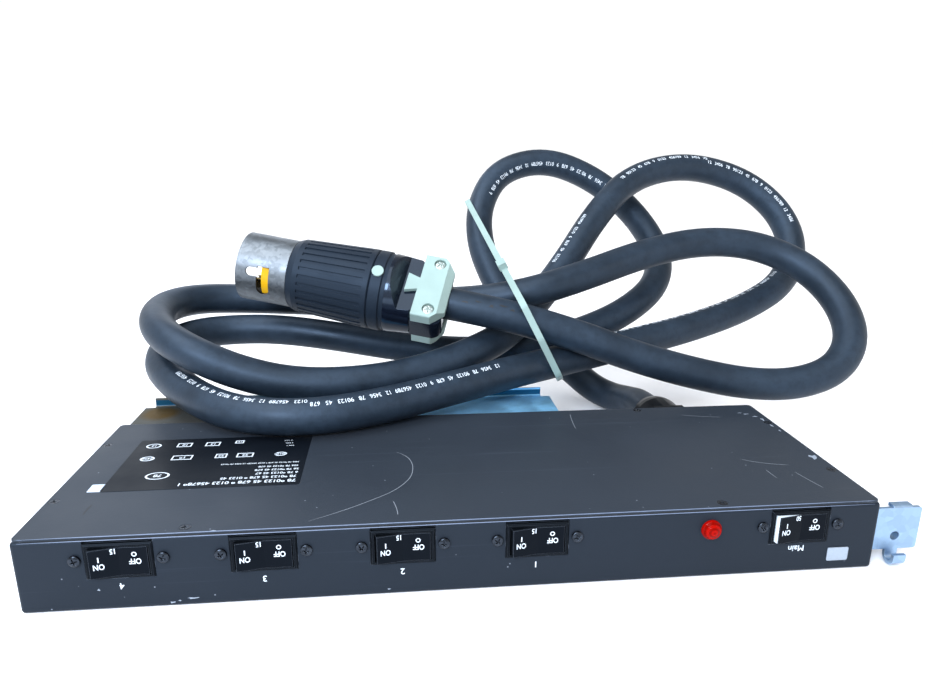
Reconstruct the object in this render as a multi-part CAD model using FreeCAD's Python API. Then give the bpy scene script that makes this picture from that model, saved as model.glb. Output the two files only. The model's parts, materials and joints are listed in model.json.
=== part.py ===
"""Rack power distribution unit with a hard-wired input cord and a locking plug.

Millimetres, +X right, +Y to the back, +Z up. The origin is the middle of the face the unit lies on.
The unit lies with its service cover up, as it is laid out for inspection.
"""

import FreeCAD
import Part
import math
import os

V = FreeCAD.Vector
X_AXIS = V(1, 0, 0)
Y_AXIS = V(0, 1, 0)
Z_AXIS = V(0, 0, 1)

# Enclosure
BODY_WIDTH = 437.0
BODY_DEPTH = 147.0
BODY_HEIGHT = 40.0
SHEET = 1.2
BEND = 2.0
RIM_FLANGE = 9.0
COVER_INSET = 0.7
COVER_CORNER = 2.5

SIDE = BODY_WIDTH / 2
FRONT = -BODY_DEPTH / 2
REAR = BODY_DEPTH / 2
RIM = BODY_HEIGHT - SHEET

# Cover screws, countersunk M3
COVER_SCREW_HEAD = 2.9
COVER_SCREW_SHANK = 1.75
COVER_SCREW_LENGTH = 6.0
COVER_SCREW_X = (-139.0, 133.5)
COVER_SCREW_FRONT = 6.0
COVER_SCREW_REAR = 4.0
COVER_SCREW_SIDE = 4.5
COVER_SCREW_SIDE_Y = (FRONT + 38.8, FRONT + 112.4)

# Rocker breakers in a row along the front
BRANCH_COUNT = 4
BRANCH_1_X = 34.4
BRANCH_PITCH = 67.9
MAIN_X = 174.4
BEZEL_WIDTH = 32.0
BEZEL_LOW = 17.8
BEZEL_HIGH = 36.6
BEZEL_PROUD = 1.0
BEZEL_CHAMFER = 0.7
NOTCH_GAP = 0.2
CASE_WIDTH = 34.0
CASE_LOW = 15.4
CASE_HIGH = 36.7
CASE_DEPTH = 46.0
LUG_LENGTH = 8.0
LUG_WIDTH = 7.0
LUG_X = 9.0
EAR_SPAN = 49.0
EAR_LOW = 19.5
EAR_HIGH = 36.5
EAR_THICK = 2.0
EAR_SCREW_X = 20.5
EAR_SCREW_Z = 28.0

# Rocker: a shallow V that tips about an upright pin
ROCKER_HALF = 13.3
ROCKER_CENTRE = 2.5
ROCKER_TILT = 5.5
ROCKER_LOW = 19.5
ROCKER_HIGH = 34.5
ROCKER_BACK = 3.5
ROCKER_CAP = 0.6
ROCKER_GAP = 0.35
ROCKER_END = ROCKER_CENTRE + ROCKER_HALF * math.tan(math.radians(ROCKER_TILT))
ROCKER_RADIUS = math.hypot(ROCKER_HALF, ROCKER_END)
TRUNNION = 1.2
TRUNNION_LENGTH = 0.9
PIVOT_Y = FRONT - BEZEL_PROUD + ROCKER_CENTRE * math.cos(math.radians(ROCKER_TILT))

# Panel screws, pan head M3
PAN_HEAD = 2.9
PAN_HEIGHT = 1.9
PAN_SHANK = 1.5
PAN_LENGTH = 7.0
PAN_EDGE = 0.5
PAN_CROWN = 0.7

# Pilot lamp
PILOT_X = 125.8
PILOT_Z = 28.3
PILOT_LENS = 5.3
PILOT_RIM_HEIGHT = 1.6
PILOT_DOME = 4.6
PILOT_DOME_SHARES = [(0.86, 0.72), (0.6, 0.93), (0.3, 1.0)]
PILOT_BARREL = 4.4
PILOT_LENGTH = 20.0
PILOT_NUT = 7.4

# Outlets along the rear wall
OUTLET_COUNT = 4
OUTLET_1_X = 26.0
OUTLET_PITCH = 62.0
OUTLET_Z = 19.6
OUTLET_FLANGE = (40.0, 33.0, 2.2)
OUTLET_BODY = (35.4, 27.6, 23.0)
OUTLET_WELL = (32.0, 24.6, 16.5)
OUTLET_CORE = (26.6, 19.2)
OUTLET_CORE_SINK = 1.5
BLADE_SLOT = (8.6, 2.6)
BLADE_SLOT_X = 6.5
BLADE_SLOT_DROP = 3.2
EARTH_SLOT_RISE = 3.6
CONTACT_LENGTH = 30.0
CONTACT_THICK = 0.6

# Rear tray that carries the output cords
TRAY_LEFT = -214.0
TRAY_RIGHT = 79.0
TRAY_TOP = 38.0
TRAY_DEPTH = 40.0
TRAY_LIP = 6.0
TRAY_LIP_INSET = 6.5
TRAY_TAB_WIDTH = 15.0
TRAY_TAB_LOW = 9.0
TRAY_SCREW_Z = 20.0

# Mounting bracket on the right side
BRACKET_SHEET = 2.0
BRACKET_Y = FRONT + 4.3
BRACKET_REACH = 27.3
BRACKET_LOW = 8.3
BRACKET_HIGH = 33.0
BRACKET_FOOT = 42.0
BRACKET_SCREWS = (14.0, 34.0)
BRACKET_CORNER = 1.6
BRACKET_HOLE_X = 232.5
BRACKET_HOLE_Z = 16.2
BRACKET_HOLE = 2.6
BRACKET_COLLAR = 4.3
BRACKET_COLLAR_LENGTH = 3.0
HOOK_LEFT = 228.5
HOOK_RIGHT = 235.5
HOOK_BEND = 2.6
HOOK_TIP = 2.5
HOOK_FLOOR = 1.4
TAB_LEFT = 229.5
TAB_RIGHT = 240.5
TAB_REACH = 3.0
TAB_ROUND = 1.6

# Input cord gland on the rear wall
GLAND_X = 160.0
GLAND_Z = 20.0
GLAND_THREAD = 14.0
GLAND_HEX = 37.0
GLAND_HEX_LENGTH = 7.0
GLAND_NECK = 1.0
GLAND_STUB = 3.0
GLAND_NUT_HEX = 35.6
GLAND_NUT_RADIUS = 18.0
GLAND_NUT_LENGTH = 31.5
GLAND_NUT_SHARES = [(1.0, 0.0), (1.0, 0.55), (0.96, 0.71), (0.86, 0.905)]
GLAND_MOUTH = 13.6
LOCKNUT_HEX = 33.0
LOCKNUT_LENGTH = 5.0
GLAND_END = REAR + GLAND_HEX_LENGTH + GLAND_NECK + GLAND_NUT_LENGTH

# Input cord, laid from the gland to the plug in the loops it is tied in
CORD_DIAMETER = 24.0
CORD_ROUTE = [
    # out of the gland, round to the left and up
    (GLAND_X, GLAND_END, GLAND_Z), (160, 134, 20), (157, 156, 15), (148, 175, 12), (134, 188, 16.5),
    (117, 199, 31), (92, 210, 51), (68, 220, 79), (52, 238, 106),
    # first upright loop
    (42, 260, 136), (45, 281, 168), (66, 299, 197), (110, 305, 207), (156, 302, 190),
    (192, 284, 160), (209, 252, 126), (197, 216, 102), (162, 189, 84), (122, 175, 71),
    # back of the lower left loop
    (75, 167, 61), (26, 170, 56), (-30, 177, 60), (-85, 184, 69), (-133, 192, 74),
    (-173, 192, 74), (-196, 173, 75), (-208, 150, 71), (-205, 125, 65),
    # front of the lower left loop, over the cover
    (-192, 104, 61), (-170, 80, 55), (-141, 55, 52.5), (-106, 43, 52.5), (-72, 46, 53),
    (-33, 63, 54), (5, 83, 56), (48, 102, 60),
    # second upright loop
    (98, 127, 62), (150, 149, 66), (210, 172, 72), (267, 191, 84), (312, 210, 103),
    (329, 233, 134), (319, 255, 166), (286, 274, 192), (232, 276, 203), (179, 262, 191),
    (142, 236, 159), (113, 209, 125), (87, 188, 99), (53, 147, 77),
    # upper left loop
    (14, 116, 68), (-27, 98, 61), (-67, 88, 59), (-107, 85, 61), (-142, 86, 70),
    (-172, 90, 83), (-196, 107, 92), (-210, 138, 97), (-211, 173, 99), (-194, 198, 99),
    (-160, 210, 96), (-106, 206, 94), (-52, 195, 94), (-7, 177, 97), (32, 156, 102),
    # third loop, out to the right and back to the plug
    (69, 145, 110), (115, 157, 121), (165, 176, 134), (216, 187, 143), (263, 186, 141),
    (299, 169, 127), (316, 139, 105), (314, 108, 81), (296, 92, 60), (265, 89, 49),
    (227, 94, 48), (182, 100, 57), (140, 106, 69), (102, 111, 83), (60, 115, 96),
    (22, 122, 104), (-17, 131, 110.5),
]
ARC_SHARE = 0.45

# Cable tie round the bundle, in its own plane
TIE_CENTRE = V(66, 174, 97)
TIE_NORMAL = V(-0.89, 0.04, -0.46)
TIE_OUTLINE = [
    (-84, 84), (38, 30), (73, 16), (78, -12), (70, -46), (48, -57),
    (3, -56), (-14, -42), (-38, 0), (-70, 14), (-118, 66),
]
TIE_THICK = 1.4
TIE_WIDTH = 4.8
TIE_CORNER = 7.0
TIE_HEAD = (7.5, 6.0)
TIE_HEAD_SIDE = 1.0

# Locking plug, measured along its axis from the cord
PLUG_FACING = V(-0.1, -0.67, 0.74)
CLAMP_LENGTH = 23.0
CLAMP_SQUEEZE = 0.3
CLAMP_HALF = 27.0
CLAMP_THICK = 18.5
CLAMP_BEVEL = 5.0
CLAMP_CORNER = 9.0
CLAMP_ROUND = 1.5
CLAMP_SCREW_OFFSET = 20.0
CLAMP_SCREW_HEAD = 4.2
CLAMP_SCREW_SINK = 3.0
CLAMP_SCREW_HEIGHT = 2.4
CLAMP_TONGUE = 9.0
TONGUE_ROOT = 4.6
TONGUE_TIP = 7.6
TONGUE_THICK = 4.0
CHEEK_HALF = 9.0
CHEEK_BACK = 1.5
CHEEK_CORNER = 8.0
HOUSING_END = 44.0
HOUSING_BACK = 27.5
HOUSING_FRONT = 29.0
HOUSING_FLAT = 15.5
HOUSING_LEDGE = 11.0
HOUSING_ROUND = 2.0
RING_END = 56.0
RING_RADIUS = 29.6
RING_GROOVE = 1.2
RING_NECK = 3.0
RING_EDGE = 0.8
BODY_END = 117.5
BODY_BACK = 29.6
BODY_FRONT = 27.2
BODY_EDGE = 0.8
NOSE_PROFILE = [(0.0, 5.0), (1.4, 1.2), (2.4, 0.0)]
RIB_COUNT = 30
RIB_GROOVE_WIDTH = 2.4
RIB_GROOVE_DEPTH = 0.9
RIB_START = 4.5
RIB_STOP = 9.0
SHELL_END = 155.0
SHELL_RADIUS = 25.0
SHELL_WALL = 1.4
CORE_END = 136.0
CORE_RADIUS = 23.0
CORE_SOCKET = 12.0
BUTTON_RADIUS = 4.2
BUTTON_SINK = 3.0
BUTTON_PROUD = 0.9
BUTTON_ANGLE = -8.0
SLOT_COUNT = 2
SLOT_CROSS = (130.0, 139.0)
SLOT_CROSS_ANGLES = (-73.0, -33.0)
SLOT_LONG_END = 144.0
SLOT_LONG_ANGLES = (-51.0, -36.0)
PLUG_BLADES = 3
PLUG_BLADE_RADIUS = 15.5
PLUG_BLADE_THICK = 2.0
PLUG_BLADE_ARC = 52.0
PLUG_BLADE_ROOT = 6.0
PLUG_BLADE_END = 152.0

# Wiring inside
FEED_LEAD = 5.2
BRANCH_LEAD = 3.6
LAMP_LEAD = 2.0
LEAD_START = 10.0
LEAD_SPREAD = 5.0
COMB_TOOTH = 6.0
COMB_THICK = 2.0
COMB_HIGH = (30.5, 35.0)
COMB_LOW = (5.0, 10.0)
STRIP_X = 92.0
STRIP_Y = 20.0
STRIP_SIZE = (46.0, 17.0, 15.0)
STRIP_PITCH = 11.0
STRIP_CHAMFER = 1.5
STRIP_WELL = 2.6
STRIP_WELL_DEPTH = 4.2
STRIP_LEVEL = 9.0
STUD_X = 196.0
STUD_Y = 40.0
STUD_RADIUS = 2.5
STUD_HEIGHT = 16.0
NUT_RADIUS = 4.6
NUT_HEIGHT = 4.0
NUT_LEVELS = (0.2, 7.7)

BRANCH_X = [BRANCH_1_X - BRANCH_PITCH * index for index in range(BRANCH_COUNT)]
BREAKER_X = [MAIN_X] + BRANCH_X
OUTLET_X = [OUTLET_1_X - OUTLET_PITCH * index for index in range(OUTLET_COUNT)]
LUG_END = FRONT + CASE_DEPTH + LUG_LENGTH
LUG_Z = (CASE_LOW + CASE_HIGH) / 2
CONTACT_BACK = REAR - CONTACT_LENGTH
LINE_CONTACT_Z = OUTLET_Z - BLADE_SLOT_DROP - BLADE_SLOT[1] / 2 + CONTACT_THICK / 2
EARTH_CONTACT_Z = OUTLET_Z + EARTH_SLOT_RISE - BLADE_SLOT[1] / 2 + CONTACT_THICK / 2
GLAND_INSIDE = REAR - SHEET - LOCKNUT_LENGTH - GLAND_STUB


def block(low, high):
    """A box between two corners."""
    size = [top - bottom for bottom, top in zip(low, high)]
    return Part.makeBox(*size, V(*low))


def centred(x, z, width, height, y_low, y_high):
    """A box centred on x and z that runs from y_low to y_high."""
    return block((x - width / 2, y_low, z - height / 2), (x + width / 2, y_high, z + height / 2))


def rod(radius, start, end):
    """A round bar between two points."""
    along = V(*end) - V(*start)
    return Part.makeCylinder(radius, along.Length, V(*start), along)


def polygon(points):
    """A flat face with straight sides."""
    corners = [V(*point) for point in points]
    return Part.Face(Part.makePolygon(corners + corners[:1]))


def turned(profile, base, axis):
    """A solid turned from (radius, distance) points about an axis."""
    outline = [V(0, 0, profile[0][1])]
    outline += [V(radius, 0, distance) for radius, distance in profile]
    outline.append(V(0, 0, profile[-1][1]))
    solid = Part.Face(Part.makePolygon(outline + outline[:1])).revolve(V(), Z_AXIS, 360)
    solid.Placement = FreeCAD.Placement(base, FreeCAD.Rotation(Z_AXIS, axis))
    return solid


def hexagon(across_flats, start, length):
    """A hexagonal prism along +Y with two flats level."""
    radius = across_flats / math.sqrt(3)
    angles = [math.radians(60 * corner) for corner in range(6)]
    corners = [(start.x + radius * math.cos(a), start.y, start.z + radius * math.sin(a)) for a in angles]
    return polygon(corners).extrude(Y_AXIS * length)


def straight_edges(solid, direction, places):
    """Edges along a direction whose middle is at one of the given places."""
    found = []
    for edge in solid.Edges:
        along = edge.Vertexes[-1].Point - edge.Vertexes[0].Point
        if along.Length < 1e-6 or along.normalize().cross(direction).Length > 1e-6:
            continue
        middle = edge.CenterOfMass
        flat = middle - direction * middle.dot(direction)
        if any((flat - V(*place)).Length < 0.01 for place in places):
            found.append(edge)
    return found


def tube(route, diameter):
    """A round tube along straight runs joined by tangent arcs; also returns its length and bend radii."""
    points = [V(*point) for point in route]
    edges = []
    radii = []
    here = points[0]
    for before, corner, after in zip(points, points[1:], points[2:]):
        incoming = (corner - before).normalize()
        outgoing = (after - corner).normalize()
        half_turn = incoming.getAngle(outgoing) / 2
        reach = ARC_SHARE * min((corner - before).Length, (after - corner).Length)
        radius = reach / math.tan(half_turn)
        inward = (outgoing - incoming).normalize()
        arc_start = corner - incoming * reach
        arc_end = corner + outgoing * reach
        arc_middle = corner + inward * (radius / math.cos(half_turn) - radius)
        edges.append(Part.LineSegment(here, arc_start).toShape())
        edges.append(Part.Arc(arc_start, arc_middle, arc_end).toShape())
        radii.append(radius)
        here = arc_end
    edges.append(Part.LineSegment(here, points[-1]).toShape())
    path = Part.Wire(edges)
    section = Part.Face(Part.Wire(Part.Circle(points[0], points[1] - points[0], diameter / 2).toShape()))
    return path.makePipe(section), path.Length, radii


def pan_screw(seat, axis, length=PAN_LENGTH, head=PAN_HEAD, height=PAN_HEIGHT, shank=PAN_SHANK):
    """A pan-head screw whose head sits on seat and faces along axis."""
    profile = [(shank, -length), (shank, 0), (head, 0), (head, height * PAN_EDGE), (head * PAN_CROWN, height)]
    return turned(profile, seat, axis)


def chassis():
    """Folded tray with its front panel, rim flanges and rear wall."""
    shell = block((-SIDE, FRONT, 0), (SIDE, REAR, RIM))
    shell = shell.makeFillet(BEND, shell.Edges)
    inside = block((-SIDE + SHEET, FRONT + SHEET, SHEET), (SIDE - SHEET, REAR - SHEET, RIM - SHEET))
    mouth = block((-SIDE + RIM_FLANGE, FRONT + RIM_FLANGE, RIM - 2 * SHEET),
                  (SIDE - RIM_FLANGE, REAR - RIM_FLANGE, RIM + SHEET))
    cuts = [inside, mouth]
    front_wall = (FRONT - SHEET, FRONT + 2 * SHEET)
    rear_wall = (REAR + SHEET, REAR - 2 * SHEET)
    for x in BREAKER_X:
        half = BEZEL_WIDTH / 2 + NOTCH_GAP
        cuts.append(block((x - half, FRONT - SHEET, BEZEL_LOW - NOTCH_GAP),
                          (x + half, FRONT + RIM_FLANGE, RIM + SHEET)))
        for side in (-EAR_SCREW_X, EAR_SCREW_X):
            cuts.append(hole_along_y(PAN_SHANK + NOTCH_GAP, x + side, EAR_SCREW_Z, front_wall))
    cuts.append(hole_along_y(PILOT_BARREL + NOTCH_GAP, PILOT_X, PILOT_Z, front_wall))
    for x in OUTLET_X:
        width, height = [size + 2 * NOTCH_GAP for size in OUTLET_BODY[:2]]
        cuts.append(centred(x, OUTLET_Z, width, height, REAR - 2 * SHEET, REAR + SHEET))
    cuts.append(hole_along_y(GLAND_THREAD + NOTCH_GAP, GLAND_X, GLAND_Z, rear_wall))
    cuts += [hole_along_y(PAN_SHANK, seat.x, seat.z, rear_wall) for seat in tray_screw_seats()]
    cuts += [rod(PAN_SHANK, seat, (SIDE - 2 * SHEET, seat.y, seat.z)) for seat in bracket_screw_seats()]
    for x, y in cover_screw_places():
        cuts.append(rod(COVER_SCREW_SHANK, (x, y, RIM - 2 * SHEET), (x, y, RIM + SHEET)))
    return shell.cut(cuts)


def hole_along_y(radius, x, z, span):
    """The round cut for a hole through the front or rear wall."""
    return rod(radius, (x, span[0], z), (x, span[1], z))


def cover_screw_places():
    """Centres of the cover screws on the rim flanges."""
    places = [(x, y) for x in COVER_SCREW_X for y in (FRONT + COVER_SCREW_FRONT, REAR - COVER_SCREW_REAR)]
    edge = SIDE - COVER_SCREW_SIDE
    return places + [(x, y) for x in (-edge, edge) for y in COVER_SCREW_SIDE_Y]


def countersink(x, y):
    """Cone and shank of a countersunk screw with its top level with the cover."""
    profile = [(COVER_SCREW_SHANK, -COVER_SCREW_LENGTH), (COVER_SCREW_SHANK, -SHEET), (COVER_SCREW_HEAD, 0)]
    return turned(profile, V(x, y, BODY_HEIGHT), Z_AXIS)


def cover_plate():
    """Flat service cover with rounded corners and countersunk holes."""
    half_width, half_depth = SIDE - COVER_INSET, REAR - COVER_INSET
    plate = block((-half_width, -half_depth, RIM), (half_width, half_depth, BODY_HEIGHT))
    upright = [edge for edge in plate.Edges if abs(edge.tangentAt(edge.FirstParameter).z) > 0.9]
    plate = plate.makeFillet(COVER_CORNER, upright)
    return plate.cut([countersink(x, y) for x, y in cover_screw_places()])


def cover_screws():
    """Countersunk screws that hold the cover to the rim."""
    return Part.makeCompound([countersink(x, y) for x, y in cover_screw_places()])


def breaker_case(x):
    """Breaker body with its bezel in the panel notch, mounting ears and rear lugs."""
    half = BEZEL_WIDTH / 2
    bezel = block((-half, FRONT - BEZEL_PROUD, BEZEL_LOW), (half, FRONT + 2 * SHEET, BEZEL_HIGH))
    front_edges = [edge for edge in bezel.Edges if abs(edge.CenterOfMass.y - (FRONT - BEZEL_PROUD)) < 0.01]
    bezel = bezel.makeChamfer(BEZEL_CHAMFER, front_edges)
    inner_face = FRONT + SHEET
    ears = block((-EAR_SPAN / 2, inner_face, EAR_LOW), (EAR_SPAN / 2, inner_face + EAR_THICK, EAR_HIGH))
    body = block((-CASE_WIDTH / 2, inner_face, CASE_LOW), (CASE_WIDTH / 2, FRONT + CASE_DEPTH, CASE_HIGH))
    case_end = FRONT + CASE_DEPTH
    lugs = [centred(side, LUG_Z, LUG_WIDTH, LUG_WIDTH, case_end, LUG_END) for side in (-LUG_X, LUG_X)]
    case = bezel.fuse([ears, body] + lugs)
    reach = ROCKER_RADIUS + ROCKER_GAP
    depth = ROCKER_RADIUS * math.sin(math.asin(ROCKER_BACK / ROCKER_RADIUS) + math.radians(ROCKER_TILT))
    window = block((-reach, FRONT - 2 * BEZEL_PROUD, ROCKER_LOW - ROCKER_GAP),
                   (reach, PIVOT_Y + depth + ROCKER_GAP, ROCKER_HIGH + ROCKER_GAP))
    socket = rod(TRUNNION + ROCKER_GAP, (0, PIVOT_Y, ROCKER_LOW - TRUNNION_LENGTH - ROCKER_GAP),
                 (0, PIVOT_Y, ROCKER_HIGH + TRUNNION_LENGTH + ROCKER_GAP))
    holes = [rod(PAN_SHANK, (side, FRONT, EAR_SCREW_Z), (side, FRONT + CASE_DEPTH / 4, EAR_SCREW_Z))
             for side in (-EAR_SCREW_X, EAR_SCREW_X)]
    return case.cut([window, socket] + holes).translated(V(x, 0, 0))


def rocker(x):
    """The rocker at rest in its off position: its white carrier with pivot pins, and its dark face cap."""
    height = ROCKER_HIGH - ROCKER_LOW
    back_x = math.sqrt(ROCKER_RADIUS ** 2 - ROCKER_BACK ** 2)
    left, right = V(-ROCKER_HALF, -ROCKER_END, 0), V(ROCKER_HALF, -ROCKER_END, 0)
    valley = V(0, -ROCKER_CENTRE, 0)
    back_left, back_right = V(-back_x, ROCKER_BACK, 0), V(back_x, ROCKER_BACK, 0)
    outline = Part.Wire([
        Part.LineSegment(left, valley).toShape(),
        Part.LineSegment(valley, right).toShape(),
        Part.Arc(right, V(ROCKER_RADIUS, 0, 0), back_right).toShape(),
        Part.LineSegment(back_right, back_left).toShape(),
        Part.Arc(back_left, V(-ROCKER_RADIUS, 0, 0), left).toShape(),
    ])
    whole = Part.Face(outline).extrude(Z_AXIS * height)
    slope = math.tan(math.radians(ROCKER_TILT))
    wide = 2 * ROCKER_HALF
    under = ROCKER_CENTRE - ROCKER_CAP
    below_cap = polygon([(-wide, -under - wide * slope, 0), (0, -under, 0), (wide, -under - wide * slope, 0),
                         (wide, wide, 0), (-wide, wide, 0)]).extrude(Z_AXIS * height)
    carrier = whole.common(below_cap)
    pins = rod(TRUNNION, (0, 0, -TRUNNION_LENGTH), (0, 0, height + TRUNNION_LENGTH))
    carrier = carrier.fuse(pins).removeSplitter()
    cap = whole.cut(below_cap)
    rest = FreeCAD.Placement(V(x, PIVOT_Y, ROCKER_LOW), FreeCAD.Rotation(Z_AXIS, ROCKER_TILT))
    carrier.Placement = rest
    cap.Placement = rest
    return carrier, cap


def breaker_screws():
    """Black pan-head screws either side of each breaker."""
    seats = [V(x + side, FRONT, EAR_SCREW_Z) for x in BREAKER_X for side in (-EAR_SCREW_X, EAR_SCREW_X)]
    return Part.makeCompound([pan_screw(seat, -Y_AXIS) for seat in seats])


def pilot_lamp():
    """Red lens, barrel behind the panel and the push-on nut."""
    face = V(PILOT_X, FRONT, PILOT_Z)
    dome = [(PILOT_LENS, 0), (PILOT_LENS, PILOT_RIM_HEIGHT)]
    dome += [(PILOT_LENS * across, PILOT_DOME * up) for across, up in PILOT_DOME_SHARES]
    lens = turned(dome, face, -Y_AXIS)
    barrel = rod(PILOT_BARREL, face, (PILOT_X, FRONT + PILOT_LENGTH, PILOT_Z))
    nut_start = (PILOT_X, FRONT + SHEET, PILOT_Z)
    nut_end = (PILOT_X, FRONT + 2 * SHEET, PILOT_Z)
    nut = rod(PILOT_NUT, nut_start, nut_end).cut(rod(PILOT_BARREL, nut_start, nut_end))
    return lens, barrel, nut


def outlet(x):
    """Panel outlet: flange, snap-in body and the well round its slotted core."""
    flange_w, flange_h, flange_t = OUTLET_FLANGE
    body_w, body_h, body_d = OUTLET_BODY
    well_w, well_h, well_d = OUTLET_WELL
    flange = centred(x, OUTLET_Z, flange_w, flange_h, REAR, REAR + flange_t)
    rim = [edge for edge in flange.Edges if abs(edge.CenterOfMass.y - (REAR + flange_t)) < 0.01]
    flange = flange.makeChamfer(BEZEL_CHAMFER, rim)
    body = centred(x, OUTLET_Z, body_w, body_h, REAR - body_d, REAR + SHEET)
    floor = REAR + flange_t - well_d
    well = centred(x, OUTLET_Z, well_w, well_h, floor, REAR + 2 * flange_t)
    core = centred(x, OUTLET_Z, *OUTLET_CORE, floor - SHEET, REAR + flange_t - OUTLET_CORE_SINK)
    solid = flange.fuse(body).cut(well).fuse(core).removeSplitter()
    return solid.cut([slot.translated(V(x, 0, 0)) for slot in outlet_slots()])


def outlet_slots():
    """The three blade slots of an outlet, through its core and back wall."""
    width, height = BLADE_SLOT
    depth = (REAR - OUTLET_BODY[2] - SHEET, REAR + OUTLET_FLANGE[2])
    low = OUTLET_Z - BLADE_SLOT_DROP
    places = [(-BLADE_SLOT_X, low), (BLADE_SLOT_X, low), (0, OUTLET_Z + EARTH_SLOT_RISE)]
    return [centred(px, pz, width, height, *depth) for px, pz in places]


def outlet_contacts():
    """Spring contacts behind the outlet slots, with tails for the wires."""
    contacts = []
    for x in OUTLET_X:
        for slot in outlet_slots():
            box = slot.BoundBox
            back, front = REAR - CONTACT_LENGTH, REAR - OUTLET_WELL[2] / 2
            leaf_top = box.ZMin + CONTACT_THICK
            contacts.append(block((box.XMin + x, back, box.ZMin), (box.XMax + x, front, leaf_top)))
    return Part.makeCompound(contacts)


def tray_screw_seats():
    """Where the tray's tabs are screwed to the rear wall."""
    half = TRAY_TAB_WIDTH / 2
    return [V(x, REAR + SHEET, TRAY_SCREW_Z) for x in (TRAY_LEFT + half, TRAY_RIGHT - half)]


def cord_tray():
    """Folded shelf with an upturned lip and a screw tab at each end."""
    outer = REAR + TRAY_DEPTH
    under = TRAY_TOP - SHEET
    lip_top = TRAY_TOP + TRAY_LIP
    left, right = TRAY_LEFT + TRAY_LIP_INSET, TRAY_RIGHT - TRAY_LIP_INSET
    section = [(REAR, under), (outer, under), (outer, lip_top), (outer - SHEET, lip_top),
               (outer - SHEET, TRAY_TOP), (REAR, TRAY_TOP)]
    lipped = polygon([(left, y, z) for y, z in section]).extrude(X_AXIS * (right - left))
    lipped = lipped.makeFillet(2 * SHEET, straight_edges(lipped, X_AXIS, [(0, outer, under)]))
    lipped = lipped.makeFillet(SHEET, straight_edges(lipped, X_AXIS, [(0, outer - SHEET, TRAY_TOP)]))
    shelf = block((TRAY_LEFT, REAR, under), (TRAY_RIGHT, outer - 3 * SHEET, TRAY_TOP))
    tabs = []
    for x in (TRAY_LEFT, TRAY_RIGHT - TRAY_TAB_WIDTH):
        tabs.append(block((x, REAR, TRAY_TAB_LOW), (x + TRAY_TAB_WIDTH, REAR + SHEET, TRAY_TOP)))
    tray = shelf.fuse([lipped] + tabs).removeSplitter()
    return tray.cut([rod(PAN_SHANK, seat, seat - Y_AXIS * 2 * SHEET) for seat in tray_screw_seats()])


def bracket_screw_seats():
    """Where the bracket's foot is screwed to the right side wall."""
    middle = (BRACKET_LOW + BRACKET_HIGH) / 2
    return [V(SIDE + BRACKET_SHEET, BRACKET_Y + offset, middle) for offset in BRACKET_SCREWS]


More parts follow.
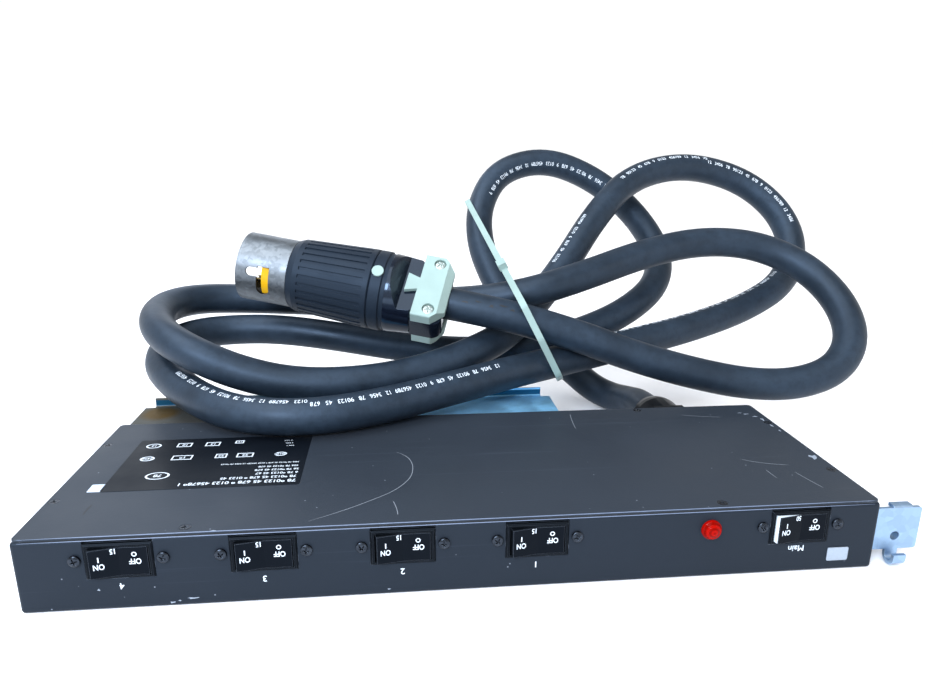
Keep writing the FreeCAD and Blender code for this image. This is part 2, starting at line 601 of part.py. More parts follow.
def mounting_bracket():
    """Folded rack bracket with an extruded threaded hole, a bottom hook and a top tab."""
    back = BRACKET_Y + BRACKET_SHEET
    outer = SIDE + BRACKET_REACH
    inner = SIDE + BRACKET_SHEET
    foot_end = BRACKET_Y + BRACKET_FOOT
    section = [(SIDE, BRACKET_Y, BRACKET_LOW), (outer, BRACKET_Y, BRACKET_LOW), (outer, back, BRACKET_LOW),
               (inner, back, BRACKET_LOW), (inner, foot_end, BRACKET_LOW), (SIDE, foot_end, BRACKET_LOW)]
    angle = polygon(section).extrude(Z_AXIS * (BRACKET_HIGH - BRACKET_LOW))
    angle = angle.makeFillet(BRACKET_SHEET, straight_edges(angle, Z_AXIS, [(SIDE, BRACKET_Y, 0)]))
    corners = [(outer, 0, BRACKET_LOW), (outer, 0, BRACKET_HIGH)]
    angle = angle.makeFillet(BRACKET_CORNER, straight_edges(angle, Y_AXIS, corners))

    hook_back = V(HOOK_LEFT, back, BRACKET_LOW + BRACKET_SHEET)
    bend_back = V(HOOK_LEFT, back, HOOK_FLOOR + HOOK_BEND + BRACKET_SHEET)
    bend_low = V(HOOK_LEFT, BRACKET_Y - HOOK_BEND, HOOK_FLOOR)
    bend_front = V(HOOK_LEFT, BRACKET_Y - 2 * HOOK_BEND - BRACKET_SHEET, bend_back.z)
    tip_front = bend_front + Z_AXIS * HOOK_TIP
    tip_back = tip_front + Y_AXIS * BRACKET_SHEET
    inner_front = bend_front + Y_AXIS * BRACKET_SHEET
    inner_low = bend_low + Z_AXIS * BRACKET_SHEET
    inner_back = bend_back - Y_AXIS * BRACKET_SHEET
    hook_front = hook_back - Y_AXIS * BRACKET_SHEET
    hook_outline = Part.Wire([
        Part.LineSegment(hook_back, bend_back).toShape(),
        Part.Arc(bend_back, bend_low, bend_front).toShape(),
        Part.LineSegment(bend_front, tip_front).toShape(),
        Part.LineSegment(tip_front, tip_back).toShape(),
        Part.LineSegment(tip_back, inner_front).toShape(),
        Part.Arc(inner_front, inner_low, inner_back).toShape(),
        Part.LineSegment(inner_back, hook_front).toShape(),
        Part.LineSegment(hook_front, hook_back).toShape(),
    ])
    hook = Part.Face(hook_outline).extrude(X_AXIS * (HOOK_RIGHT - HOOK_LEFT))

    tab_top = BRACKET_HIGH + BRACKET_SHEET / 2
    tab = block((TAB_LEFT, BRACKET_Y, tab_top - BRACKET_SHEET), (TAB_RIGHT, back + TAB_REACH, tab_top))
    tab = tab.makeFillet(TAB_ROUND, straight_edges(tab, X_AXIS, [(0, BRACKET_Y, tab_top)]))

    hole = V(BRACKET_HOLE_X, BRACKET_Y, BRACKET_HOLE_Z)
    collar = rod(BRACKET_COLLAR, hole + Y_AXIS, hole + Y_AXIS * (BRACKET_SHEET + BRACKET_COLLAR_LENGTH))
    bracket = angle.fuse([hook, tab, collar]).removeSplitter()
    bore = rod(BRACKET_HOLE, hole - Y_AXIS, hole + Y_AXIS * (2 * BRACKET_SHEET + BRACKET_COLLAR_LENGTH))
    seats = [rod(PAN_SHANK, seat, seat - X_AXIS * 2 * BRACKET_SHEET) for seat in bracket_screw_seats()]
    return bracket.cut([bore] + seats)


def gland():
    """Body with its threaded barrel, faceted clamping nut and inside locknut."""
    wall = V(GLAND_X, REAR, GLAND_Z)
    neck_end = wall + Y_AXIS * (GLAND_HEX_LENGTH + GLAND_NECK)
    barrel = rod(GLAND_THREAD, V(GLAND_X, GLAND_INSIDE, GLAND_Z), neck_end)
    body = hexagon(GLAND_HEX, wall, GLAND_HEX_LENGTH).fuse(barrel).removeSplitter()
    profile = [(GLAND_NUT_RADIUS * across, GLAND_NUT_LENGTH * along) for across, along in GLAND_NUT_SHARES]
    profile.append((GLAND_MOUTH, GLAND_NUT_LENGTH))
    nut = turned(profile, neck_end, Y_AXIS).common(hexagon(GLAND_NUT_HEX, neck_end, GLAND_NUT_LENGTH))
    inside = wall - Y_AXIS * (SHEET + LOCKNUT_LENGTH)
    locknut = hexagon(LOCKNUT_HEX, inside, LOCKNUT_LENGTH)
    locknut = locknut.cut(rod(GLAND_THREAD, inside, inside + Y_AXIS * LOCKNUT_LENGTH))
    return body, nut, locknut


def tie_frame():
    """Placement of the cable tie's plane: its own X runs forward and its Y up the bundle."""
    normal = V(TIE_NORMAL).normalize()
    forward = Z_AXIS.cross(normal).normalize()
    up = normal.cross(forward)
    return FreeCAD.Placement(TIE_CENTRE, FreeCAD.Rotation(forward, up, normal, "XYZ"))


def cable_tie():
    """Flat strap drawn round the bundle, with its locking head."""
    inner = polygon([(u, v, 0) for u, v in TIE_OUTLINE]).extrude(Z_AXIS * TIE_WIDTH)
    upright = [edge for edge in inner.Edges if abs(edge.tangentAt(edge.FirstParameter).z) > 0.9]
    inner = inner.makeFillet(TIE_CORNER, upright)
    bottom = min(inner.Faces, key=lambda face: face.CenterOfMass.z)
    outer = Part.Face(bottom.OuterWire.makeOffset2D(TIE_THICK)).extrude(Z_AXIS * TIE_WIDTH)
    strap = outer.cut(inner)
    head_at = V(*TIE_OUTLINE[1], 0)
    length, height = TIE_HEAD
    head = block((-length / 2, 0, -TIE_HEAD_SIDE), (length / 2, height, TIE_WIDTH + TIE_HEAD_SIDE))
    run = V(*TIE_OUTLINE[1], 0) - V(*TIE_OUTLINE[0], 0)
    turn = math.degrees(math.atan2(run.y, run.x))
    head.Placement = FreeCAD.Placement(head_at - run.normalize() * 2 * length, FreeCAD.Rotation(Z_AXIS, turn))
    tie = strap.fuse(head).removeSplitter()
    tie.translate(V(0, 0, -TIE_WIDTH / 2))
    tie.Placement = tie_frame().multiply(tie.Placement)
    return tie


def plug_frame():
    """Placement of the plug: its own Z runs from the cord to the blades, its X faces the clamp's screws."""
    end = V(*CORD_ROUTE[-1])
    along = (end - V(*CORD_ROUTE[-2])).normalize()
    facing = (PLUG_FACING - along * PLUG_FACING.dot(along)).normalize()
    back = end - along * CLAMP_LENGTH
    return FreeCAD.Placement(back, FreeCAD.Rotation(facing, along.cross(facing), along, "XYZ"))


def plug_clamp_half(side):
    """One half of the cord clamp, with a bevelled back, cut corners and a tongue over the housing."""
    inner = CHEEK_HALF + NOTCH_GAP
    tip = CLAMP_LENGTH + CLAMP_TONGUE
    section = [(inner, 0), (CLAMP_THICK - CLAMP_BEVEL, 0), (CLAMP_THICK, CLAMP_BEVEL),
               (CLAMP_THICK, CLAMP_LENGTH), (inner, CLAMP_LENGTH)]
    half = polygon([(depth, -CLAMP_HALF, along) for depth, along in section]).extrude(Y_AXIS * 2 * CLAMP_HALF)
    ends = [(CLAMP_THICK, y, 0) for y in (-CLAMP_HALF, CLAMP_HALF)]
    half = half.makeFillet(CLAMP_ROUND, straight_edges(half, Z_AXIS, ends))
    shoulder = CLAMP_HALF - CLAMP_CORNER
    plan = [(-CLAMP_HALF, CLAMP_CORNER), (-shoulder, 0), (shoulder, 0), (CLAMP_HALF, CLAMP_CORNER),
            (CLAMP_HALF, tip), (-CLAMP_HALF, tip)]
    half = half.common(polygon([(0, y, along) for y, along in plan]).extrude(X_AXIS * CLAMP_THICK))
    root = CLAMP_LENGTH - 1
    under = CLAMP_THICK - TONGUE_THICK
    tongue = polygon([(under, -TONGUE_ROOT, root), (under, -TONGUE_TIP, tip),
                      (under, TONGUE_TIP, tip), (under, TONGUE_ROOT, root)])
    half = half.fuse(tongue.extrude(X_AXIS * TONGUE_THICK)).removeSplitter()
    cuts = [rod(CORD_DIAMETER / 2 - CLAMP_SQUEEZE, (0, 0, -1), (0, 0, CLAMP_LENGTH + 1))]
    middle = CLAMP_LENGTH / 2
    seat = CLAMP_THICK - CLAMP_SCREW_SINK
    for y in (-CLAMP_SCREW_OFFSET, CLAMP_SCREW_OFFSET):
        cuts.append(rod(PAN_SHANK, (-1, y, middle), (CLAMP_THICK + 1, y, middle)))
        cuts.append(rod(CLAMP_SCREW_HEAD + NOTCH_GAP, (seat, y, middle), (CLAMP_THICK + 1, y, middle)))
    half = half.cut(cuts)
    if side < 0:
        half = half.rotated(V(), Z_AXIS, 180)
    return half


def plug_housing(clamp_halves):
    """Glossy housing, round at the ring, flattened at the clamp, with two cheeks between its halves."""
    wide = 2 * HOUSING_FRONT
    slope_end = HOUSING_END - HOUSING_ROUND
    profile = [(HOUSING_BACK - HOUSING_ROUND, CLAMP_LENGTH), (HOUSING_BACK, CLAMP_LENGTH + HOUSING_ROUND),
               (HOUSING_FRONT, slope_end), (HOUSING_FRONT, HOUSING_END)]
    housing = turned(profile, V(), Z_AXIS)
    wedge = polygon([(HOUSING_FLAT, -wide, CLAMP_LENGTH), (HOUSING_FLAT, -wide, CLAMP_LENGTH + HOUSING_LEDGE),
                     (HOUSING_FRONT, -wide, slope_end), (wide, -wide, slope_end),
                     (wide, -wide, CLAMP_LENGTH)]).extrude(Y_AXIS * 2 * wide)
    housing = housing.cut([wedge, wedge.rotated(V(), Z_AXIS, 180)])
    cheeks = block((-CHEEK_HALF, -CLAMP_HALF, CHEEK_BACK), (CHEEK_HALF, CLAMP_HALF, CLAMP_LENGTH + 1))
    corners = [(0, y, CHEEK_BACK) for y in (-CLAMP_HALF, CLAMP_HALF)]
    cheeks = cheeks.makeFillet(CHEEK_CORNER, straight_edges(cheeks, X_AXIS, corners))
    cheeks = cheeks.cut(rod(CORD_DIAMETER / 2 + NOTCH_GAP, (0, 0, 0), (0, 0, CLAMP_LENGTH)))
    middle = CLAMP_LENGTH / 2
    shanks = [rod(PAN_SHANK, (-CLAMP_THICK, y, middle), (CLAMP_THICK, y, middle))
              for y in (-CLAMP_SCREW_OFFSET, CLAMP_SCREW_OFFSET)]
    return housing.fuse(cheeks).removeSplitter().cut(clamp_halves + shanks)


def plug_grip():
    """Tapered body with lengthwise finger grooves and a socket for the core."""
    profile = [(BODY_BACK - BODY_EDGE, RING_END), (BODY_BACK, RING_END + BODY_EDGE),
               (BODY_BACK, RING_END + RIB_START)]
    profile += [(BODY_FRONT - drop, BODY_END - left) for drop, left in NOSE_PROFILE]
    grip = turned(profile, V(), Z_AXIS)
    length = BODY_END - RING_END
    lean = math.degrees(math.atan2(BODY_BACK - BODY_FRONT, length - RIB_START - NOSE_PROFILE[0][1]))
    grooves = []
    for index in range(RIB_COUNT):
        groove = block((BODY_BACK - RIB_GROOVE_DEPTH, -RIB_GROOVE_WIDTH / 2, 0),
                       (BODY_BACK + BODY_EDGE, RIB_GROOVE_WIDTH / 2, length - RIB_START - RIB_STOP))
        groove.rotate(V(BODY_BACK, 0, 0), Y_AXIS, -lean)
        groove.translate(V(0, 0, RING_END + RIB_START))
        groove.rotate(V(), Z_AXIS, 360 * index / RIB_COUNT)
        grooves.append(groove)
    socket = rod(CORE_RADIUS, (0, 0, BODY_END - CORE_SOCKET), (0, 0, BODY_END + 1))
    return grip.cut(grooves + [socket])


def sector(low, high, angles):
    """A wedge about the plug's axis between two levels and two angles."""
    wedge = Part.makeCylinder(2 * SHELL_RADIUS, high - low, V(0, 0, low), Z_AXIS, angles[1] - angles[0])
    return wedge.rotated(V(), Z_AXIS, angles[0])


def radial_rod(radius, level, angle):
    """A round bar that points out from the plug's axis."""
    outward = FreeCAD.Rotation(Z_AXIS, angle).multVec(X_AXIS)
    return rod(radius, V(0, 0, level), V(0, 0, level) + outward * 2 * SHELL_RADIUS)


def plug_shell():
    """Nickel-plated shell with an L-shaped locking slot on each side."""
    wall = rod(SHELL_RADIUS, (0, 0, BODY_END), (0, 0, SHELL_END))
    wall = wall.cut(rod(SHELL_RADIUS - SHELL_WALL, (0, 0, BODY_END - 1), (0, 0, SHELL_END + 1)))
    cross_low, cross_high = SLOT_CROSS
    first, last = SLOT_LONG_ANGLES
    half_long = SHELL_RADIUS * math.radians(last - first) / 2
    slot = sector(cross_low, cross_high, SLOT_CROSS_ANGLES)
    slot = slot.fuse([
        radial_rod((cross_high - cross_low) / 2, (cross_low + cross_high) / 2, SLOT_CROSS_ANGLES[0]),
        sector(cross_high - 1, SLOT_LONG_END, SLOT_LONG_ANGLES),
        radial_rod(half_long, SLOT_LONG_END, (first + last) / 2),
    ])
    turn = 360 / SLOT_COUNT
    return wall.cut([slot.rotated(V(), Z_AXIS, turn * index) for index in range(SLOT_COUNT)])


def plug_pieces():
    """All the pieces of the locking plug, in the plug's own frame."""
    pieces = {}
    halves = [plug_clamp_half(1), plug_clamp_half(-1)]
    pieces["plug_clamp_front"], pieces["plug_clamp_rear"] = halves
    seat_x = CLAMP_THICK - CLAMP_SCREW_SINK
    seats = [V(seat_x, y, CLAMP_LENGTH / 2) for y in (-CLAMP_SCREW_OFFSET, CLAMP_SCREW_OFFSET)]
    pieces["plug_clamp_screws"] = Part.makeCompound(
        [pan_screw(seat, X_AXIS, 2 * seat_x, CLAMP_SCREW_HEAD, CLAMP_SCREW_HEIGHT) for seat in seats])
    pieces["plug_housing"] = plug_housing(halves)

    inset = RING_RADIUS - RING_GROOVE
    band_start = HOUSING_END + RING_NECK
    ring = turned([(inset, HOUSING_END), (inset, band_start), (RING_RADIUS, band_start + RING_EDGE),
                   (RING_RADIUS, RING_END - RING_EDGE), (inset, RING_END)], V(), Z_AXIS)
    outward = FreeCAD.Rotation(Z_AXIS, BUTTON_ANGLE).multVec(X_AXIS)
    button_at = V(0, 0, (band_start + RING_END) / 2)
    sunk, proud = RING_RADIUS - BUTTON_SINK, RING_RADIUS + BUTTON_PROUD
    pieces["plug_button"] = rod(BUTTON_RADIUS, button_at + outward * sunk, button_at + outward * proud)
    pieces["plug_ring"] = ring.cut(pieces["plug_button"])
    pieces["plug_body"] = plug_grip()
    pieces["plug_shell"] = plug_shell()

    core_start = BODY_END - CORE_SOCKET
    core = rod(CORE_RADIUS, (0, 0, core_start), (0, 0, CORE_END))
    blades = []
    for index in range(PLUG_BLADES):
        blade = rod(PLUG_BLADE_RADIUS, (0, 0, core_start + PLUG_BLADE_ROOT), (0, 0, PLUG_BLADE_END))
        blade = blade.cut(rod(PLUG_BLADE_RADIUS - PLUG_BLADE_THICK, (0, 0, core_start), (0, 0, SHELL_END)))
        turn = 360 * index / PLUG_BLADES
        blades.append(blade.common(sector(core_start, SHELL_END, (turn, turn + PLUG_BLADE_ARC))))
    pieces["plug_core"] = core.cut(blades)
    pieces["plug_blades"] = Part.makeCompound(blades)
    return pieces


def terminal_strip():
    """Neutral distribution strip on the floor of the tray."""
    length, width, height = STRIP_SIZE
    strip = block((STRIP_X - length / 2, STRIP_Y - width / 2, SHEET),
                  (STRIP_X + length / 2, STRIP_Y + width / 2, SHEET + height))
    top_edges = [edge for edge in strip.Edges if edge.CenterOfMass.z > SHEET + height - 0.01]
    strip = strip.makeChamfer(STRIP_CHAMFER, top_edges)
    wells = []
    for index in range(BRANCH_COUNT):
        x = STRIP_X + STRIP_PITCH * (index - (BRANCH_COUNT - 1) / 2)
        top = SHEET + height
        wells.append(rod(STRIP_WELL, (x, STRIP_Y, top - STRIP_WELL_DEPTH), (x, STRIP_Y, top + SHEET)))
    return strip.cut(wells)


def earth_stud():
    """Welded stud with its two nuts, bonded to the tray."""
    base = V(STUD_X, STUD_Y, SHEET)
    stud = rod(STUD_RADIUS, base, base + Z_AXIS * STUD_HEIGHT)
    angles = [math.radians(60 * corner + 30) for corner in range(6)]
    nut = polygon([(NUT_RADIUS * math.cos(a), NUT_RADIUS * math.sin(a), 0) for a in angles])
    nuts = [nut.extrude(Z_AXIS * NUT_HEIGHT).translated(base + Z_AXIS * level) for level in NUT_LEVELS]
    return stud.fuse(nuts).removeSplitter()


def leads(routes, diameter):
    """One group of insulated leads."""
    return Part.makeCompound([tube(route, diameter)[0] for route in routes])


def comb(places, y_low, bar, teeth):
    """A flat comb bar along X: bar and teeth are their (low, high) levels, with one tooth at each place."""
    half = COMB_TOOTH / 2
    y_high = y_low + COMB_THICK
    spine = block((min(places) - half, y_low, bar[0]), (max(places) + half, y_high, bar[1]))
    fingers = [block((x - half, y_low, teeth[0]), (x + half, y_high, teeth[1])) for x in places]
    return spine.fuse(fingers).removeSplitter()


def breaker_bar():
    """Copper comb that feeds the branch breakers from the main breaker."""
    places = [MAIN_X - LUG_X] + [x + LUG_X for x in BRANCH_X]
    return comb(places, LUG_END, COMB_HIGH, (LUG_Z - COMB_TOOTH / 2, COMB_HIGH[1]))


def neutral_bar():
    """Comb that joins the neutral contacts of the outlets."""
    places = [x + BLADE_SLOT_X for x in OUTLET_X]
    return comb(places, CONTACT_BACK - COMB_THICK, COMB_LOW, (COMB_LOW[0], LINE_CONTACT_Z + COMB_THICK))


def earth_bar():
    """Comb that joins the earth contacts of the outlets."""
    return comb(OUTLET_X, CONTACT_BACK - COMB_THICK, COMB_HIGH, (EARTH_CONTACT_Z - COMB_THICK, COMB_HIGH[1]))


def line_leads():
    """The feed to the main breaker and a lead from each branch breaker to its outlet."""
    main_in = V(MAIN_X + LUG_X, LUG_END, LUG_Z)
    feed_start = V(GLAND_X, GLAND_INSIDE, GLAND_Z + LEAD_SPREAD)
    feed = [feed_start, feed_start - Y_AXIS * 1.4 * LEAD_START, main_in + Y_AXIS * 2 * LEAD_START, main_in]
    routes = []
    for breaker_x, outlet_x in zip(BRANCH_X, OUTLET_X):
        start = V(breaker_x - LUG_X, LUG_END, LUG_Z)
        end = V(outlet_x - BLADE_SLOT_X, CONTACT_BACK, LINE_CONTACT_Z)
        routes.append([start, start + Y_AXIS * LEAD_START, end - Y_AXIS * 1.4 * LEAD_START, end])
    return Part.makeCompound([leads([feed], FEED_LEAD), leads(routes, BRANCH_LEAD)])


def neutral_leads():
    """The neutral from the gland to the terminal strip and on to the outlets' comb."""
    strip_right = V(STRIP_X + STRIP_SIZE[0] / 2, STRIP_Y, STRIP_LEVEL)
    strip_left = strip_right - X_AXIS * STRIP_SIZE[0]
    feed_start = V(GLAND_X - LEAD_SPREAD, GLAND_INSIDE, GLAND_Z - LEAD_SPREAD)
    bar_end = V(OUTLET_X[0] + BLADE_SLOT_X, CONTACT_BACK - COMB_THICK, sum(COMB_LOW) / 2)
    routes = [
        [feed_start, feed_start - Y_AXIS * 1.5 * LEAD_START,
         strip_right + X_AXIS * 2 * LEAD_START, strip_right],
        [strip_left, strip_left - X_AXIS * 1.4 * LEAD_START, bar_end - Y_AXIS * 1.4 * LEAD_START, bar_end],
    ]
    return leads(routes, BRANCH_LEAD)


def earth_leads():
    """The earth from the gland to the stud and on to the outlets' comb."""
    flat = NUT_RADIUS * math.cos(math.radians(30))
    lower, upper = [V(STUD_X - flat, STUD_Y, SHEET + level + NUT_HEIGHT / 2) for level in NUT_LEVELS]
    feed_start = V(GLAND_X + LEAD_SPREAD, GLAND_INSIDE, GLAND_Z - LEAD_SPREAD)
    bar_end = V(OUTLET_X[0], CONTACT_BACK - COMB_THICK, sum(COMB_HIGH) / 2)
    routes = [
        [feed_start, feed_start - Y_AXIS * LEAD_START, upper - X_AXIS * 1.3 * LEAD_START, upper],
        [lower, lower - X_AXIS * 2 * LEAD_START, bar_end + V(5 * LEAD_START, -LEAD_START, -LEAD_START),
         bar_end - Y_AXIS * 1.4 * LEAD_START, bar_end],
    ]
    return leads(routes, BRANCH_LEAD)


def lamp_leads():
    """The pilot lamp's two leads to the terminal strip."""
    routes = []
    for side in (-1, 1):
        start = V(PILOT_X + side * LAMP_LEAD, FRONT + PILOT_LENGTH, PILOT_Z)
        end = V(STRIP_X + STRIP_PITCH * (1 + side / 2), STRIP_Y - STRIP_SIZE[1] / 2, STRIP_LEVEL)
        routes.append([start, start + Y_AXIS * 1.5 * LEAD_START, end - Y_AXIS * 1.5 * LEAD_START, end])
    return leads(routes, LAMP_LEAD)


def build():
    """Every piece by its name."""
    parts = {"chassis": chassis(), "cover_plate": cover_plate(), "cover_screws": cover_screws()}
    names = ["main"] + ["branch_%d" % (index + 1) for index in range(BRANCH_COUNT)]
    for name, x in zip(names, BREAKER_X):
        parts[name + "_breaker_case"] = breaker_case(x)
        parts[name + "_rocker_carrier"], parts[name + "_rocker_cap"] = rocker(x)
    parts["breaker_screws"] = breaker_screws()
    parts["pilot_lens"], parts["pilot_barrel"], parts["pilot_nut"] = pilot_lamp()
    for index, x in enumerate(OUTLET_X):
        parts["outlet_%d" % (index + 1)] = outlet(x)
    parts["outlet_contacts"] = outlet_contacts()
    parts["cord_tray"] = cord_tray()
    parts["tray_screws"] = Part.makeCompound([pan_screw(seat, Y_AXIS) for seat in tray_screw_seats()])
    parts["mounting_bracket"] = mounting_bracket()
    parts["bracket_screws"] = Part.makeCompound([pan_screw(seat, X_AXIS) for seat in bracket_screw_seats()])
    parts["gland_body"], parts["gland_nut"], parts["gland_locknut"] = gland()
    parts["terminal_strip"] = terminal_strip()
    parts["earth_stud"] = earth_stud()
    parts["breaker_bar"] = breaker_bar()
    parts["neutral_bar"] = neutral_bar()
    parts["earth_bar"] = earth_bar()
    parts["line_leads"] = line_leads()
    parts["neutral_leads"] = neutral_leads()
    parts["earth_leads"] = earth_leads()
    parts["lamp_leads"] = lamp_leads()

    parts["input_cord"], cord_length, radii = tube(CORD_ROUTE, CORD_DIAMETER)
    print("input cord length %.0f, volume share %.4f" % (
        cord_length, parts["input_cord"].Volume / (math.pi * CORD_DIAMETER ** 2 / 4 * cord_length)))
    print("input cord bend radii", [round(radius) for radius in radii])
    parts["cable_tie"] = cable_tie()
    frame = plug_frame()
    for name, piece in plug_pieces().items():
        piece.Placement = frame.multiply(piece.Placement)
        parts[name] = piece
    return parts


os.makedirs("parts", exist_ok=True)
for node, shape in build().items():
    shape.exportStep("parts/%s.step" % node)
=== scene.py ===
"""Looks of a rack power distribution unit: its finishes, lettering, labels, screws, wear and input cord."""

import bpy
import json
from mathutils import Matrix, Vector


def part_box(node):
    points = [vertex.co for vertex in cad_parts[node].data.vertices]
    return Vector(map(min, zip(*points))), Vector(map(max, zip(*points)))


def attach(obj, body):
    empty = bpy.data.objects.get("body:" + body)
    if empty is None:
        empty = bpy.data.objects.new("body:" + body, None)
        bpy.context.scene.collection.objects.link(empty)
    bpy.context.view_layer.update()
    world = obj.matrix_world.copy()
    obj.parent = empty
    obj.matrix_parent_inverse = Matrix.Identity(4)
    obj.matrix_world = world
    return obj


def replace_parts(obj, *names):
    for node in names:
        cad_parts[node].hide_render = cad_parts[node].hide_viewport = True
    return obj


bl_info = {
    "name": "Rack power distribution unit",
    "version": (1, 0, 0),
    "blender": (4, 5, 0),
    "location": "3D View > Sidebar > Power unit",
    "description": "Dresses the solids of a rack power distribution unit and sets a studio stage around it",
    "category": "Object",
}

import bisect
import json
import math

import bmesh
import bpy
from bpy.props import FloatProperty, FloatVectorProperty, PointerProperty
from bpy.types import NodeSocket, Operator, Panel, PropertyGroup
from mathutils import Matrix, Vector

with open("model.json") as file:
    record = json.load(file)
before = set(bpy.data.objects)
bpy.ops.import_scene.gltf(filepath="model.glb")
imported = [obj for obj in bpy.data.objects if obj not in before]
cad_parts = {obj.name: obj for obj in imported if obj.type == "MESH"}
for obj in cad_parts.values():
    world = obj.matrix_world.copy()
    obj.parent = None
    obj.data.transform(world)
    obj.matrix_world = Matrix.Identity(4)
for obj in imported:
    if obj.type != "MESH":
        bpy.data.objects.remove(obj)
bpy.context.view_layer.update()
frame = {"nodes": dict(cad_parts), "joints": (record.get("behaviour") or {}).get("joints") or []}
NODES = frame["nodes"]
JOINTS = {joint["child"]: joint for joint in frame["joints"]}

MM = 0.001
UNIT = "unit"
BREAKERS = ("main", "branch_1", "branch_2", "branch_3", "branch_4")

# Corners of a mesh that are closer than this count as one
WELD = 0.001 * MM

# Directions of the unit's frame
RIGHT, BACK, UP = (1, 0, 0), (0, 1, 0), (0, 0, 1)
LEFT, FRONT, DOWN = (-1, 0, 0), (0, -1, 0), (0, 0, -1)

# The photograph's view of the unit, in metres and degrees, with the sensor in millimetres
CAMERA_PLACE = (-0.0340, -0.3919, 0.2195)
CAMERA_TURN = -5.71
CAMERA_DOWN = 15.94
CAMERA_ROLL = 0.22
SENSOR_WIDTH = 36.0
NEAREST_SEEN = 0.01

# Soft lights, in metres: name, place, width, height and tint
LIGHTS = (
    ("key", (-0.5, -0.95, 0.75), 0.5, 0.4, "#dfecff"),
    ("top", (-0.55, 0.1, 1.1), 0.9, 0.6, "#e6f0ff"),
    ("side", (0.85, -0.45, 0.5), 0.6, 0.5, "#ffe3cc"),
    ("rear", (-0.45, 1.05, 0.62), 0.9, 0.4, "#e6f0ff"),
)

# Even light: the way it shines, and its spread in degrees
EVEN_WAY = (0.35, 0.45, -1.0)
EVEN_SPREAD = 60

# Studio walls: their tint, and how far up the sky they end and the ceiling begins
WALL_TINT = "#fbfdff"
WALL_TOP = 0.25
CEILING_FOOT = 0.65

# Floor: half its width in metres, its squares along a side, and its drop below the unit
FLOOR_REACH = 12.0
FLOOR_SQUARES = 8
FLOOR_DROP = 0.05 * MM

# Cool tint that the studio's light gives to the gloss of dark surfaces
COOL = "#c8e2ff"

# Rocker faces at rest, about each pivot
ROCKER_VALLEY = 2.5 * MM
ROCKER_TILT = math.radians(5.5)

# Marks on a rocker: words, whether they are on its pressed half, and how far along and up it in millimetres
ROCKER_MARKS = (
    ("O", True, 7.2, 3.7), ("OFF", True, 7.4, -0.2),
    ("I", False, -9.0, 2.3), ("ON", False, -9.1, -1.6), ("rating", False, -2.4, 5.8),
)
MAIN_RATING, BRANCH_RATING = "50", "15"

# Sizes as shares of the words' height: the rating, the two radii of the O, and the width and height of the I
RATING_SHARE = 0.92
RING_SHARES = (0.43, 0.26)
BAR_SHARES = (0.19, 0.95)

# Lettering: how far its outlines are thickened, and how far it is narrowed on the rockers and the cord
REGULAR, BOLD, THIN = 0.012, 0.02, 0.006
ROCKER_NARROW, CORD_NARROW = 0.8, 0.85

# Front panel, in millimetres: heights and sideways shift of the words, and the blank badge's place (x, z) and
# its width, height, thickness and corner radius
MAIN_LEVEL, NUMBER_LEVEL = 14.3, 12.9
WORD_SHIFT = -0.5
BADGE_PLACE = (197.7, 9.9)
BADGE_SIZE = (11.8, 7.8, 0.4, 0.9)

# Locking plug: the side that its clamp screws face, the clamp's length along the cord, and how far the seats
# of the screws are above the plug's axis and to its sides
PLUG_FACING = (-0.1, -0.67, 0.74)
CLAMP_LENGTH = 23 * MM
CLAMP_SEAT = 15.5 * MM
CLAMP_SCREW_OFFSET = 20 * MM

# The cord's route from the gland to the plug's clamp, in millimetres
CORD_ROUTE = (
    # out of the gland, round to the left and up
    (160, 113, 20), (160, 134, 20), (157, 156, 15), (148, 175, 12), (134, 188, 16.5),
    (117, 199, 31), (92, 210, 51), (68, 220, 79), (52, 238, 106),
    # first upright loop
    (42, 260, 136), (45, 281, 168), (66, 299, 197), (110, 305, 207), (156, 302, 190),
    (192, 284, 160), (209, 252, 126), (197, 216, 102), (162, 189, 84), (122, 175, 71),
    # back of the lower left loop
    (75, 167, 61), (26, 170, 56), (-30, 177, 60), (-85, 184, 69), (-133, 192, 74),
    (-173, 192, 74), (-196, 173, 75), (-208, 150, 71), (-205, 125, 65),
    # front of the lower left loop, over the cover
    (-192, 104, 61), (-170, 80, 55), (-141, 55, 52.5), (-106, 43, 52.5), (-72, 46, 53),
    (-33, 63, 54), (5, 83, 56), (48, 102, 60),
    # second upright loop
    (98, 127, 62), (150, 149, 66), (210, 172, 72), (267, 191, 84), (312, 210, 103),
    (329, 233, 134), (319, 255, 166), (286, 274, 192), (232, 276, 203), (179, 262, 191),
    (142, 236, 159), (113, 209, 125), (87, 188, 99), (53, 147, 77),
    # upper left loop
    (14, 116, 68), (-27, 98, 61), (-67, 88, 59), (-107, 85, 61), (-142, 86, 70),
    (-172, 90, 83), (-196, 107, 92), (-210, 138, 97), (-211, 173, 99), (-194, 198, 99),
    (-160, 210, 96), (-106, 206, 94), (-52, 195, 94), (-7, 177, 97), (32, 156, 102),
    # third loop, out to the right and back to the plug
    (69, 145, 110), (115, 157, 121), (165, 176, 134), (216, 187, 143), (263, 186, 141),
    (299, 169, 127), (316, 139, 105), (314, 108, 81), (296, 92, 60), (265, 89, 49),
    (227, 94, 48), (182, 100, 57), (140, 106, 69), (102, 111, 83), (60, 115, 96),
    (22, 122, 104), (-17, 131, 110.5),
)

# Fineness of smooth lines, of the outlines of letters and of the cord's round section
LINE_STEPS = 8
LETTER_STEPS = 6
CORD_ROUNDNESS = 14

